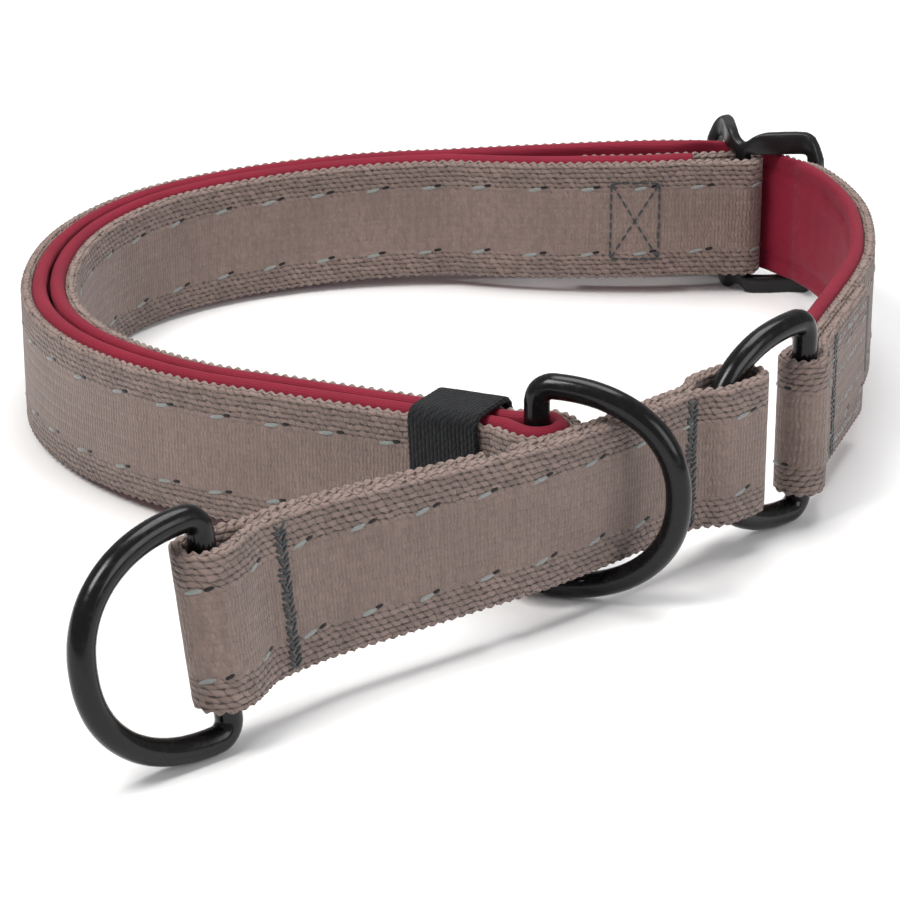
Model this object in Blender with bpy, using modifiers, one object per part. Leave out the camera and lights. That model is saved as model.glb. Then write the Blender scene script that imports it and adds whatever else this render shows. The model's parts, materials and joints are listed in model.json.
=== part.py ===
"""A martingale (half-slip) collar standing on its edge.

A padded webbing strap runs from the link ring, through the slider, round the neck loop
to the slide ring and back to the slider. A doubled control strap is sewn to the link ring,
passes through the slide ring and ends at the leash ring.

Sizes are in millimetres and are turned into metres where the solids are made.
The floor is z = 0, +X runs to the right and +Y runs away from the front of the loop.
"""

import math

import bpy
from mathutils import Matrix, Vector

MM = 0.001

# Webbing and lining
WEB_WIDTH = 25.0
WEB_THICK = 1.9
LINING_THICK = 2.6
LINING_OVER = 0.4  # how much wider the lining is than the webbing
LINING_SQUEEZED = 1.2  # lining thickness where it runs through the slider
SQUEEZE_FROM = 0.4  # where it starts, from the slider's middle, in lengths of the slider
SQUEEZE_EASE = 8.0
CLEARANCE = 0.3  # between two pieces that touch
LAYER_GAP = 0.6  # between the two linings where the strap is doubled
STATION_STEP = 2.6  # distance between sections along a strap
FOLD_STEPS = 12  # sections round half a turn

# D-rings, sizes to the middle of the wire
RING_WIRE = 4.3
RING_DEPTH = 23.8
RING_CORNER = 2.8
RING_FULLNESS = 2.2  # 2 makes the bow half an ellipse, more makes it squarer
RING_EDGE_ROOM = 1.0  # from the wire to the lower edge of the strap round the bar
RING_TOP_ROOM = 4.3  # from its upper edge to the wire
BOW_STEPS = 22
CORNER_STEPS = 4

# Slider
SLIDER_LENGTH = 29.0
SLIDER_BAR = 2.6
SLIDER_END_BAR = 3.2
SLIDER_RAIL = 3.3
SLIDER_EDGE_ROOM = 0.6
SLIDER_CORNER = 5.5
SLIDER_NOTCH_WIDTH = 9.0
SLIDER_NOTCH_DEPTH = 1.8
SLIDER_END_ROOM = 0.4
SLIDER_END_FLAT = 4.2  # length of the level part at each end
SLIDER_SECTIONS = 40
CUTTER_DEPTH = 80.0

# Keeper band
KEEPER_LENGTH = 13.0
KEEPER_THICK = 1.1
KEEPER_CORNER = 0.6
KEEPER_FROM_BAR = 13.6  # middle of the band to the slide ring's bar

# Sewing and label
THREAD_THICK = 0.5
BARTACK_LENGTH = 1.9
BARTACK_FROM_EDGE = 1.25
BARTACK_FROM_LEASH = 14.8  # along the control strap, from the middle of its fold
BARTACK_FROM_OPEN = 1.1  # the same at the link ring, from where the two layers part
BARTACK_FROM_COLLAR_END = 14.5
BOX_LENGTH = 10.5
BOX_FROM_EDGE = 4.05
BOX_LINE = 0.9
BOX_FROM_SLIDER = 22.5  # middle of the box to the slider's middle bar
LABEL_LENGTH = 8.0
LABEL_HEIGHT = 15.0
LABEL_THICK = 0.7
LABEL_FROM_TAIL = 1.0

# Lengths of the sewn ends
TAIL_LENGTH = 39.0
LINING_FROM_LINK_BAR = 10.0
INNER_LINING_END = 8.5  # short of the slider's middle bar
INNER_TAIL_LENGTH = 36.0
FLARE = 11.0  # length over which a fold opens to go round the link ring's bar
SLIDE_FLARE = 6.4  # the same at the slide ring
LEASH_FLARE = 10.0  # at the leash ring
LEASH_FOLD_STRAIGHT = 2.0  # length of the open part of the fold at the leash ring
LINK_FLARE = 6.0  # at the link ring's bow
LINK_FOLD_SHARE = 1.103  # its open part, in depths of the bow's bend inside the strap
LINK_LOOP_ROOM = 0.5  # play of the control strap on the link ring's bow
LINK_REACH_SHARE = 1.205  # from the middle of the bow's wire to the fold's middle, in the same
LEASH_LOOP_ROOM = 0.8  # play of the leash ring's bar in its fold
LEASH_LEAN = 9.0  # lean of the leash ring's bar, in degrees

# Sizes that follow from the webbing
LINING_WIDTH = WEB_WIDTH + LINING_OVER
RING_HEIGHT = WEB_WIDTH + RING_EDGE_ROOM + RING_TOP_ROOM + RING_WIRE
BARTACK_HEIGHT = WEB_WIDTH - 2 * BARTACK_FROM_EDGE
BOX_HEIGHT = WEB_WIDTH - 2 * BOX_FROM_EDGE

# Heights of the strap's middle above the floor
LOW_MIDDLE = WEB_WIDTH / 2 + 0.1
SLIDER_MIDDLE = WEB_WIDTH / 2 + SLIDER_EDGE_ROOM + SLIDER_RAIL
RING_MIDDLE = WEB_WIDTH / 2 + RING_WIRE + RING_EDGE_ROOM

# Where the strap runs on the floor plan: x, y and the height of its middle.
# SIDE_ROUTE runs between the strap and its folded tail, from the link ring's bar
# to the back of the loop.
SIDE_ROUTE = [
    (60.4, 7.4, RING_MIDDLE),
    (64.4, 18.5, RING_MIDDLE),
    (68.4, 29.6, RING_MIDDLE),
    (72.4, 40.7, RING_MIDDLE),
    (76.2, 51.8, RING_MIDDLE),
    (79.4, 64.0, RING_MIDDLE),
    (81.1, 78.0, RING_MIDDLE),
    (81.4, 92.0, RING_MIDDLE),
    (79.5, 105.5, RING_MIDDLE),
    (75.9, 116.8, RING_MIDDLE),
    (72.3, 126.3, SLIDER_MIDDLE),
    (66.4, 134.2, SLIDER_MIDDLE),
    (58.5, 139.4, SLIDER_MIDDLE),
    (48.5, 141.2, SLIDER_MIDDLE),
    (36.0, 141.3, LOW_MIDDLE + 3.6),
    (20.0, 141.0, LOW_MIDDLE + 3.0),
    (10.0, 140.7, LOW_MIDDLE + 2.6),
]
SLIDER_POINT = 11  # the point of SIDE_ROUTE that the slider is on

# DOUBLE_ROUTE runs between the two linings, from the back to the slide ring's bar.
DOUBLE_ROUTE = [
    (0.0, 134.9, LOW_MIDDLE + 2.2),
    (-12.0, 134.5, LOW_MIDDLE + 1.8),
    (-24.0, 132.6, LOW_MIDDLE + 1.4),
    (-36.0, 128.9, LOW_MIDDLE + 1.0),
    (-48.4, 122.6, LOW_MIDDLE + 0.7),
    (-59.8, 113.2, LOW_MIDDLE + 0.5),
    (-68.5, 101.4, LOW_MIDDLE),
    (-73.4, 87.2, LOW_MIDDLE),
    (-75.2, 72.0, LOW_MIDDLE),
    (-74.4, 57.0, LOW_MIDDLE),
    (-70.9, 42.8, LOW_MIDDLE + 0.5),
    (-64.2, 29.6, LOW_MIDDLE + 0.9),
    (-54.6, 17.8, LOW_MIDDLE + 1.4),
    (-42.8, 8.0, LOW_MIDDLE + 1.9),
    (-29.0, 0.2, LOW_MIDDLE + 2.6),
    (-16.0, -7.2, RING_MIDDLE - 1.8),
    (-2.0, -15.15, RING_MIDDLE - 0.96),
    (6.0, -19.7, RING_MIDDLE - 0.48),
    (14.0, -24.25, RING_MIDDLE),
]

# INNER_ROUTE is the middle of the inner layer's webbing on its way back to the slider.
INNER_ROUTE = [
    (10.0, 128.2, LOW_MIDDLE + 2.6),
    (20.0, 126.4, LOW_MIDDLE + 3.0),
    (30.0, 125.4, LOW_MIDDLE + 3.4),
    (40.0, 125.2, LOW_MIDDLE + 3.6),
    (49.0, 125.9, SLIDER_MIDDLE),
]

# CONTROL_ROUTE runs between the two layers of the control strap, from the leash ring
# through the slide ring. Its points are counted from that ring's bar, moved clear of
# the collar's fold round it.
CONTROL_ROUTE = [(-50.3, -46.27), (-44.1, -38.27), (-35.4, -29.67), (-24.1, -21.47),
                 (-12.1, -12.87), (-0.6, -4.47), (10.9, 6.13), (22.4, 17.83)]
CONTROL_MIDDLE = RING_WIRE / 2 + RING_HEIGHT / 2 - 0.3
LEASH_RISE = 0.5  # the control strap's middle is higher by this much at its leash ring

# Headings of the rings in degrees about +Z: from the bar towards the bow
SLIDE_HEADING = -17.0
LINK_HEADING = 224.0
LEASH_HEADING = 222.0

COLORS = {
    "webbing_taupe": ((0.262, 0.188, 0.162, 1), 0.85, 0.0),
    "lining_burgundy": ((0.246, 0.018, 0.045, 1), 0.65, 0.0),
    "ring_black": ((0.008, 0.008, 0.009, 1), 0.18, 1.0),
    "slider_black": ((0.010, 0.010, 0.011, 1), 0.35, 0.0),
    "keeper_black": ((0.008, 0.009, 0.011, 1), 0.7, 0.0),
    "thread_dark": ((0.060, 0.066, 0.070, 1), 0.75, 0.0),
    "label_dark": ((0.045, 0.040, 0.045, 1), 0.8, 0.0),
}


def clear_scene():
    """Remove every object of the starting scene."""
    for obj in list(bpy.data.objects):
        bpy.data.objects.remove(obj, do_unlink=True)


def material(name):
    """The material with this name, made once."""
    found = bpy.data.materials.get(name)
    if found:
        return found
    made = bpy.data.materials.new(name)
    made.use_nodes = True
    shader = made.node_tree.nodes["Principled BSDF"]
    color, rough, metal = COLORS[name]
    shader.inputs["Base Color"].default_value = color
    shader.inputs["Roughness"].default_value = rough
    shader.inputs["Metallic"].default_value = metal
    made.diffuse_color = color
    return made


def collection(name):
    """A collection linked to the scene."""
    made = bpy.data.collections.new(name)
    bpy.context.scene.collection.children.link(made)
    return made


def smooth_step(value):
    """Ease from 0 to 1."""
    value = min(max(value, 0.0), 1.0)
    return value * value * (3 - 2 * value)


def spline_through(points, step=STATION_STEP):
    """Evenly spaced points on a smooth curve through the given points."""
    knots = [Vector(p) for p in points]
    knots = [2 * knots[0] - knots[1]] + knots + [2 * knots[-1] - knots[-2]]
    fine = []
    for i in range(1, len(knots) - 2):
        a, b, c, d = knots[i - 1 : i + 3]
        for k in range(24):
            t = k / 24
            fine.append(
                0.5
                * (
                    2 * b
                    + (c - a) * t
                    + (2 * a - 5 * b + 4 * c - d) * t * t
                    + (3 * b - a - 3 * c + d) * t * t * t
                )
            )
    fine.append(knots[-2])
    lengths = [0.0]
    for a, b in zip(fine, fine[1:]):
        lengths.append(lengths[-1] + (b - a).length)
    count = max(2, round(lengths[-1] / step))
    spaced = []
    j = 0
    for i in range(count + 1):
        at = lengths[-1] * i / count
        while j < len(fine) - 2 and lengths[j + 1] < at:
            j += 1
        part = (at - lengths[j]) / max(lengths[j + 1] - lengths[j], 1e-9)
        spaced.append(fine[j].lerp(fine[j + 1], part))
    return spaced


def lengths_along(points):
    """Distance of each point along the line."""
    out = [0.0]
    for a, b in zip(points, points[1:]):
        out.append(out[-1] + (b - a).length)
    return out


def left_of(points, i):
    """Level unit vector to the left of travel at point i."""
    ahead = points[min(i + 1, len(points) - 1)] - points[max(i - 1, 0)]
    return Vector((-ahead.y, ahead.x, 0)).normalized()


def shifted(points, amount):
    """The line moved to its left by amount, a number or one number for each point."""
    if isinstance(amount, (int, float)):
        amount = [amount] * len(points)
    return [p + left_of(points, i) * amount[i] for i, p in enumerate(points)]


def arc_round(center, radius, start, turn, steps=FOLD_STEPS):
    """Points on a level arc, without its two ends. Angles are in radians."""
    return [
        center
        + Vector((math.cos(start + turn * k / steps), math.sin(start + turn * k / steps), 0))
        * radius
        for k in range(1, steps)
    ]


def heading_of(vector):
    """Angle of a level vector about +Z, in radians."""
    return math.atan2(vector.y, vector.x)


def towards(heading):
    """Level unit vector at a heading in degrees."""
    return Vector((math.cos(math.radians(heading)), math.sin(math.radians(heading)), 0))


def finish(obj, name, slot, home):
    """Name an object, give it its material and put it in a collection."""
    obj.name = name
    obj.data.name = name
    obj.data.materials.clear()
    obj.data.materials.append(material(slot))
    for other in list(obj.users_collection):
        other.objects.unlink(obj)
    home.objects.link(obj)
    return obj


def curve_object(name, points, cyclic=False):
    """A curve through the points, in metres, as an object in the scene."""
    data = bpy.data.curves.new(name, "CURVE")
    data.dimensions = "3D"
    data.twist_mode = "Z_UP"
    line = data.splines.new("POLY")
    line.points.add(len(points) - 1)
    for point, place in zip(line.points, points):
        point.co = (*(Vector(place) * MM), 1)
    line.use_cyclic_u = cyclic
    obj = bpy.data.objects.new(name, data)
    bpy.context.scene.collection.objects.link(obj)
    return obj


def as_mesh(obj, name):
    """A mesh object with the evaluated shape of obj, which is removed."""
    shape = bpy.data.meshes.new_from_object(obj.evaluated_get(bpy.context.evaluated_depsgraph_get()))
    made = bpy.data.objects.new(name, shape)
    made.matrix_world = obj.matrix_world.copy()
    bpy.context.scene.collection.objects.link(made)
    bpy.data.objects.remove(obj, do_unlink=True)
    return made


def ribbon(name, points, width, thickness, slot, home, bend=None, weights=None, side=0.0):
    """A strap standing on edge: a line raised to a surface, then thickened.

    side is 0 to thicken both ways, or 1 to thicken only to the left of travel.
    weights scale the thickness at each point. bend moves each point of the surface.
    """
    line = curve_object(name, points)
    line.data.extrude = width / 2 * MM
    strap = as_mesh(line, name)
    if bend:
        for vertex in strap.data.vertices:
            vertex.co = bend(vertex.co / MM) * MM
    thick = strap.modifiers.new("Thickness", "SOLIDIFY")
    thick.thickness = thickness * MM
    thick.offset = side
    thick.use_even_offset = True
    if weights:
        group = strap.vertex_groups.new(name="thickness")
        flat = [Vector((p.x, p.y, 0)) for p in points]
        for vertex in strap.data.vertices:
            place = Vector((vertex.co.x, vertex.co.y, 0)) / MM
            nearest = min(range(len(flat)), key=lambda i: (flat[i] - place).length_squared)
            group.add([vertex.index], weights[nearest], "REPLACE")
        thick.vertex_group = "thickness"
        thick.thickness_vertex_group = 0.0
    return finish(strap, name, slot, home)


def rounded(value):
    """A sine or cosine changed to make an ellipse fuller."""
    return math.copysign(abs(value) ** (2 / RING_FULLNESS), value)


def ring_line():
    """The middle of a D-ring's wire in its own plane: x away from the bar, z up."""
    half = RING_HEIGHT / 2
    line = [Vector((0, 0, -half + RING_CORNER)), Vector((0, 0, half - RING_CORNER))]
    for k in range(1, CORNER_STEPS + 1):
        turn = math.pi / 2 * k / CORNER_STEPS
        line.append(
            Vector((RING_CORNER * (1 - math.cos(turn)), 0, half - RING_CORNER * (1 - math.sin(turn))))
        )
    for k in range(1, BOW_STEPS):
        turn = math.pi / 2 - math.pi * k / BOW_STEPS
        line.append(
            Vector(
                (
                    RING_CORNER + (RING_DEPTH - RING_CORNER) * rounded(math.cos(turn)),
                    0,
                    half * rounded(math.sin(turn)),
                )
            )
        )
    for k in range(CORNER_STEPS):
        turn = math.pi / 2 * (1 - k / CORNER_STEPS)
        line.append(
            Vector((RING_CORNER * (1 - math.cos(turn)), 0, -half + RING_CORNER * (1 - math.sin(turn))))
        )
    return line


def ring(name, bar, turn, home):
    """A D-ring with its origin at the middle of its bar."""
    wire = curve_object(name, ring_line(), cyclic=True)
    wire.data.bevel_depth = RING_WIRE / 2 * MM
    wire.data.bevel_resolution = 3
    solid = as_mesh(wire, name)
    solid.data.shade_smooth()
    solid.matrix_world = Matrix.Translation(bar * MM) @ turn
    return finish(solid, name, "ring_black", home)


def block(name, size, place, heading, slot, home, lean=0.0):
    """A box of size (along, across, up) with its middle at place and its length along heading."""
    bpy.ops.mesh.primitive_cube_add(size=1)
    obj = bpy.context.object
    obj.data.transform(Matrix.Diagonal((*(Vector(size) * MM), 1)))
    obj.matrix_world = (
        Matrix.Translation(Vector(place) * MM)
        @ Matrix.Rotation(heading, 4, "Z")
        @ Matrix.Rotation(lean, 4, "X")
    )
    return finish(obj, name, slot, home)


def outline_object(name, loops, depth):
    """A flat outline with holes, standing in the XZ plane and depth thick along Y."""
    data = bpy.data.curves.new(name, "CURVE")
    data.dimensions = "2D"
    data.fill_mode = "BOTH"
    data.extrude = depth / 2 * MM
    for loop in loops:
        line = data.splines.new("POLY")
        line.points.add(len(loop) - 1)
        for point, (x, z) in zip(line.points, loop):
            point.co = (x * MM, z * MM, 0, 1)
        line.use_cyclic_u = True
    obj = bpy.data.objects.new(name, data)
    obj.rotation_euler = (math.pi / 2, 0, 0)
    bpy.context.scene.collection.objects.link(obj)
    bpy.context.view_layer.update()
    solid = as_mesh(obj, name)
    solid.data.transform(solid.matrix_world)
    solid.matrix_world = Matrix.Identity(4)
    weld(solid)
    return solid


def weld(obj):
    """Join the doubled points along the seams of a converted curve."""
    bpy.ops.object.select_all(action="DESELECT")
    bpy.context.view_layer.objects.active = obj
    obj.select_set(True)
    bpy.ops.object.mode_set(mode="EDIT")
    bpy.ops.mesh.select_all(action="SELECT")
    bpy.ops.mesh.remove_doubles(threshold=0.00001)
    bpy.ops.mesh.normals_make_consistent(inside=False)
    bpy.ops.object.mode_set(mode="OBJECT")
    obj.select_set(False)


# --- The lines that the straps follow -----------------------------------------------------

half_web = WEB_THICK / 2
pair = half_web + CLEARANCE / 2  # from the middle of two stacked layers to one layer's middle
lining_face = half_web + CLEARANCE  # from a webbing's middle to the lining's nearer face
doubled = LAYER_GAP / 2 + LINING_THICK + CLEARANCE + half_web
ring_fold = RING_WIRE / 2 + CLEARANCE + half_web
padded_fold = ring_fold + LINING_THICK + CLEARANCE
bar_corner = math.hypot(SLIDER_BAR / 2, SLIDER_BAR / 2)
slider_fold = bar_corner + CLEARANCE + half_web


def fold_offsets(points, closed, opened, from_end=False, flare=FLARE):
    """Offsets that open from closed to opened towards one end of the line."""
    along = lengths_along(points)
    if from_end:
        along = [along[-1] - a for a in along]
    return [opened + (closed - opened) * smooth_step(a / flare) for a in along]


side = spline_through(SIDE_ROUTE)
double = spline_through(DOUBLE_ROUTE)
link_bar = side[0]
slide_bar = double[-1]

# Main strap beside the tail, on the left of SIDE_ROUTE, then outside DOUBLE_ROUTE.
side_main = shifted(side, fold_offsets(side, pair, ring_fold))
tail_stop = max(i for i, a in enumerate(lengths_along(side)) if a <= TAIL_LENGTH)
tail = shifted(side, [-o for o in fold_offsets(side, pair, ring_fold)])[: tail_stop + 1]
outer = shifted(
    double, [-o for o in fold_offsets(double, doubled, padded_fold, True, SLIDE_FLARE)]
)
inner = shifted(double, fold_offsets(double, doubled, padded_fold, True, SLIDE_FLARE))

# The slider's place: its middle bar is inside the strap that slides through it.
slider_at = Vector(SIDE_ROUTE[SLIDER_POINT])
slider_station = min(range(len(side_main)), key=lambda i: (side_main[i] - slider_at).length)
slider_along = (side_main[slider_station - 1] - side_main[slider_station + 1]).normalized()
slider_along.z = 0
slider_along.normalize()
slider_out = Vector((-slider_along.y, slider_along.x, 0))
bar_depth = lining_face + LINING_SQUEEZED + CLEARANCE + slider_fold + half_web
slider_bar = side_main[slider_station] - slider_out * bar_depth
slider_bar.z = SLIDER_MIDDLE

# The inner layer's way to the slider's middle bar, and its tail on the lining's side.
tail_spacing = lining_face + LINING_THICK + CLEARANCE + half_web
last_inner = Vector(INNER_ROUTE[-1])
fold_line = slider_bar - (last_inner + Vector((0, tail_spacing / 2, 0)))
fold_heading = heading_of(fold_line)
fold_left = Vector((-math.sin(fold_heading), math.cos(fold_heading), 0))
near_side = spline_through(
    [tuple(p) for p in [inner[1], inner[0]]] + INNER_ROUTE + [tuple(slider_bar - fold_left * slider_fold)]
)[1:]
near_lengths = lengths_along(near_side)
near_total = near_lengths[-1]
far_side = []
for index, point in enumerate(near_side):
    left = near_total - near_lengths[index]
    if left > INNER_TAIL_LENGTH:
        continue
    spacing = 2 * slider_fold + (tail_spacing - 2 * slider_fold) * smooth_step(left / FLARE)
    normal = left_of(near_side, index) if left > STATION_STEP else fold_left
    far_side.append(point + normal * spacing)

link_turn = heading_of(side[1] - side[0])
slide_turn = heading_of(double[-1] - double[-2])
web_line = (
    tail[::-1]
    + arc_round(link_bar, ring_fold, link_turn - math.pi / 2, -math.pi)
    + side_main
    + outer
    + arc_round(slide_bar, padded_fold, slide_turn - math.pi / 2, math.pi)
    + inner[::-1][:-1]
    + near_side
    + arc_round(slider_bar, slider_fold, fold_heading - math.pi / 2, math.pi)
    + far_side[::-1]
)

# The lining follows the left of the webbing from near the link ring to near the slider.
first = len(tail) + FOLD_STEPS - 1
while (web_line[first] - link_bar).length < LINING_FROM_LINK_BAR:
    first += 1
last = len(web_line) - len(far_side) - FOLD_STEPS + 1
while (web_line[last - 1] - slider_bar).length < INNER_LINING_END:
    last -= 1
lining_line = shifted(web_line, lining_face)[first:last]
lining_rise = (LINING_WIDTH - WEB_WIDTH) / 2  # keeps the lower edges level
for point in lining_line:
    point.z += lining_rise


def squeeze(point):
    """How much of its thickness the lining keeps near the slider."""
    away = (point - side_main[slider_station]).length - SLIDER_LENGTH * SQUEEZE_FROM
    kept = LINING_SQUEEZED / LINING_THICK
    if point.y < slider_bar.y and point.x < slider_bar.x:
        return 1.0
    return kept + (1 - kept) * smooth_step(away / SQUEEZE_EASE)


# The control strap's two layers, leaning more and more towards the leash ring.
strap_edge = abs(CONTROL_MIDDLE - RING_WIRE / 2 - RING_HEIGHT / 2) + WEB_WIDTH / 2
edge_share = (1 - (2 * strap_edge / RING_HEIGHT) ** RING_FULLNESS) ** (1 / RING_FULLNESS)
bow_bend = (RING_DEPTH - RING_CORNER) * (1 - edge_share)
link_fold_at = RING_DEPTH - bow_bend * LINK_REACH_SHARE
link_fold_middle = link_bar + towards(LINK_HEADING) * link_fold_at
outer_side = heading_of(double[-1] - double[-2]) - math.pi / 2
(before_x, before_y), (last_x, last_y) = CONTROL_ROUTE[-2:]
control_side = math.atan2(last_y - before_y, last_x - before_x) - math.pi / 2
fold_reach = padded_fold / math.cos((outer_side - control_side) / 2)
clear_of_fold = towards(math.degrees(outer_side + control_side) / 2) * fold_reach
control_from = slide_bar + clear_of_fold
control_points = [(control_from.x + x, control_from.y + y) for x, y in CONTROL_ROUTE]
control_points.append((link_fold_middle.x, link_fold_middle.y))
control = spline_through([(x, y, CONTROL_MIDDLE) for x, y in control_points])
control_lengths = lengths_along(control)
control_total = control_lengths[-1]
for point, at in zip(control, control_lengths):
    point.z += LEASH_RISE * (1 - smooth_step(at / control_total))
link_fold = ring_fold + LINK_LOOP_ROOM
link_fold_straight = bow_bend * LINK_FOLD_SHARE
link_bartack_at = control_total - link_fold_straight - LINK_FLARE - BARTACK_FROM_OPEN


def control_offset(at):
    """Half the distance between the control strap's layers, at a distance along it."""
    from_leash = 1 - smooth_step((at - LEASH_FOLD_STRAIGHT) / LEASH_FLARE)
    from_link = 1 - smooth_step((control_total - at - link_fold_straight) / LINK_FLARE)
    return pair + (ring_fold - pair) * from_leash + (link_fold - pair) * from_link


def control_lean(at):
    """Lean of the control strap in radians, at a distance along it."""
    return math.radians(LEASH_LEAN) * (1 - smooth_step(at / (0.75 * control_total)))


def lean_over(place):
    """Where a point of the upright control strap goes as the strap leans."""
    level = Vector((place.x, place.y, 0))
    i = min(range(len(control)), key=lambda k: (control[k].xy - level.xy).length_squared)
    shift = (place.z - control[i].z) * math.tan(control_lean(control_lengths[i]))
    return place + left_of(control, i) * shift


control_offsets = [control_offset(a) for a in control_lengths]
front_layer = shifted(control, [-o for o in control_offsets])
back_layer = shifted(control, control_offsets)
leash_turn = heading_of(control[1] - control[0])
link_end_turn = heading_of(control[-1] - control[-2])
seam = len(control) // 2
loop_line = (
    back_layer[:seam][::-1]
    + arc_round(control[0], ring_fold, leash_turn + math.pi / 2, math.pi)
    + front_layer
    + arc_round(control[-1], link_fold, link_end_turn - math.pi / 2, math.pi)
    + back_layer[seam + 1 :][::-1]
)

# The leash ring leans with the strap and rests on the floor.
leash_lean = control_lean(0)
leash_left = left_of(control, 0)
leash_up = (leash_left * math.sin(leash_lean) + Vector((0, 0, math.cos(leash_lean)))).normalized()
leash_away = towards(LEASH_HEADING)
leash_away = (leash_away - leash_up * leash_away.dot(leash_up)).normalized()
leash_turned = Matrix((leash_away, leash_up.cross(leash_away), leash_up)).transposed().to_4x4()
leash_height = RING_WIRE / 2 - min((leash_turned @ p).z for p in ring_line())
leash_bar = control[0] + (control[1] - control[0]).normalized() * LEASH_LOOP_ROOM
leash_bar += leash_left * (leash_height - control[0].z) * math.tan(leash_lean)
leash_bar.z = leash_height


def at_length(points, at):
    """A point on a line, its heading and the left of travel, at a distance along it."""
    along = lengths_along(points)
    i = min(max(sum(a <= at for a in along) - 1, 0), len(points) - 2)
    part = (at - along[i]) / (along[i + 1] - along[i])
    step = points[i + 1] - points[i]
    turn = heading_of(step)
    return points[i] + step * part, turn, Vector((-math.sin(turn), math.cos(turn), 0))


def bartack(name, line, at, out, home, lean=0.0):
    """A raised bar of thread across a strap, out from the line that it follows."""
    place, turn, left = at_length(line, at)
    lying = half_web + CLEARANCE + THREAD_THICK / 2
    offset = out + math.copysign(lying, out)
    place = place + left * offset * math.cos(lean) - Vector((0, 0, offset * math.sin(lean)))
    size = (BARTACK_LENGTH, THREAD_THICK, BARTACK_HEIGHT)
    block(name, size, place, turn, "thread_dark", home, -lean)


def rounded_outline():
    """The slider's outline: two humps on each rail with a notch between them."""
    half = SLIDER_LENGTH / 2
    high = WEB_WIDTH / 2 + SLIDER_EDGE_ROOM + SLIDER_RAIL
    quarter = [(SLIDER_NOTCH_WIDTH * k / 12, high) for k in range(7)]
    quarter = [
        (x, z - SLIDER_NOTCH_DEPTH * (1 - smooth_step(2 * x / SLIDER_NOTCH_WIDTH)))
        for x, z in quarter
    ]
    for k in range(7):
        turn = math.pi / 2 * (1 - k / 6)
        quarter.append(
            (
                half - SLIDER_CORNER + SLIDER_CORNER * math.cos(turn),
                high - SLIDER_CORNER + SLIDER_CORNER * math.sin(turn),
            )
        )
    right = quarter + [(x, -z) for x, z in quarter[::-1]]
    return right + [(-x, z) for x, z in right[::-1] if x > 0]


def slider_wave(along):
    """How far the slider's plate is from its middle bar, towards the outside of the loop."""
    rise = bar_depth + slider_end_out
    return rise * smooth_step(
        (abs(along) - SLIDER_BAR / 2) / (SLIDER_LENGTH / 2 - SLIDER_END_FLAT)
    )


def strap_out(along):
    """The outer face of the strap that slides through the slider, out from its middle."""
    near = [p - side_main[slider_station] for p in side_main]
    point = min(near, key=lambda p: abs(p.dot(slider_along) - along) + 0.02 * p.length)
    return point.dot(slider_out) + half_web


end_bar_inside = SLIDER_LENGTH / 2 - SLIDER_END_BAR
slider_end_out = (
    max(strap_out(s * k) for s in (-1, 1) for k in (end_bar_inside - 1, SLIDER_LENGTH / 2))
    + SLIDER_END_ROOM
    + SLIDER_BAR / 2
)


def make_slider(home, cutters):
    """A bowed plate with two slots; its middle bar is nearer the neck than its end bars."""
    longer = 1.1 * SLIDER_LENGTH
    parts = [k / SLIDER_SECTIONS - 0.5 for k in range(SLIDER_SECTIONS + 1)]
    wave = [Vector((longer * part, 0, 0)) for part in parts]
    wave = [p + Vector((0, slider_wave(p.x), 0)) for p in wave]
    slider = ribbon("slider", wave, 2.5 * WEB_WIDTH, SLIDER_BAR, "slider_black", home)
    bpy.context.view_layer.update()
    slider = finish(as_mesh(slider, "slider"), "slider", "slider_black", home)
    slot_high = WEB_WIDTH / 2 + SLIDER_EDGE_ROOM
    slots = [
        [(s * x, z) for x in (SLIDER_BAR / 2, end_bar_inside) for z in (-slot_high, slot_high)]
        for s in (-1, 1)
    ]
    slots = [[a, b, d, c] for a, b, c, d in slots]
    cutter = outline_object("slider_outline", [rounded_outline()] + slots, CUTTER_DEPTH)
    finish(cutter, "slider_outline", "slider_black", cutters)
    cutter.hide_render = True
    cutter.display_type = "WIRE"
    cut = slider.modifiers.new("Outline", "BOOLEAN")
    cut.operation = "INTERSECT"
    cut.solver = "EXACT"
    cut.object = cutter
    edge = slider.modifiers.new("Edge", "BEVEL")
    edge.width = 0.4 * MM
    edge.segments = 2
    edge.limit_method = "ANGLE"
    edge.angle_limit = math.radians(60)
    turn = Matrix.Rotation(heading_of(slider_along), 4, "Z")
    place = Matrix.Translation(slider_bar * MM) @ turn
    slider.matrix_world = place
    cutter.matrix_world = place
    return slider


def make_keeper(home):
    """A flat band round both layers of the doubled strap."""
    inner_half = doubled + half_web + CLEARANCE
    inner_high = WEB_WIDTH / 2 + 2 * lining_rise + CLEARANCE
    loops = []
    for grow in (KEEPER_THICK, 0.0):
        w = inner_half + grow
        h = inner_high + grow
        r = KEEPER_CORNER + grow
        loop = []
        for cx, cz, start in ((w, h, 0), (-w, h, 90), (-w, -h, 180), (w, -h, 270)):
            for k in range(5):
                turn = math.radians(start + 90 * k / 4)
                loop.append(
                    (
                        math.copysign(w - r, cx) + r * math.cos(turn),
                        math.copysign(h - r, cz) + r * math.sin(turn),
                    )
                )
        loops.append(loop)
    band = outline_object("keeper_band", loops, KEEPER_LENGTH)
    along = (double[-4] - double[-10]).normalized()
    total = lengths_along(double)[-1]
    place, turn, left = at_length(double, total - KEEPER_FROM_BAR)
    up = left.cross(along) * -1
    turned = Matrix((-left, along, up)).transposed().to_4x4()
    band.matrix_world = Matrix.Translation(place * MM) @ turned
    return finish(band, "keeper_band", "keeper_black", home)


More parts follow.
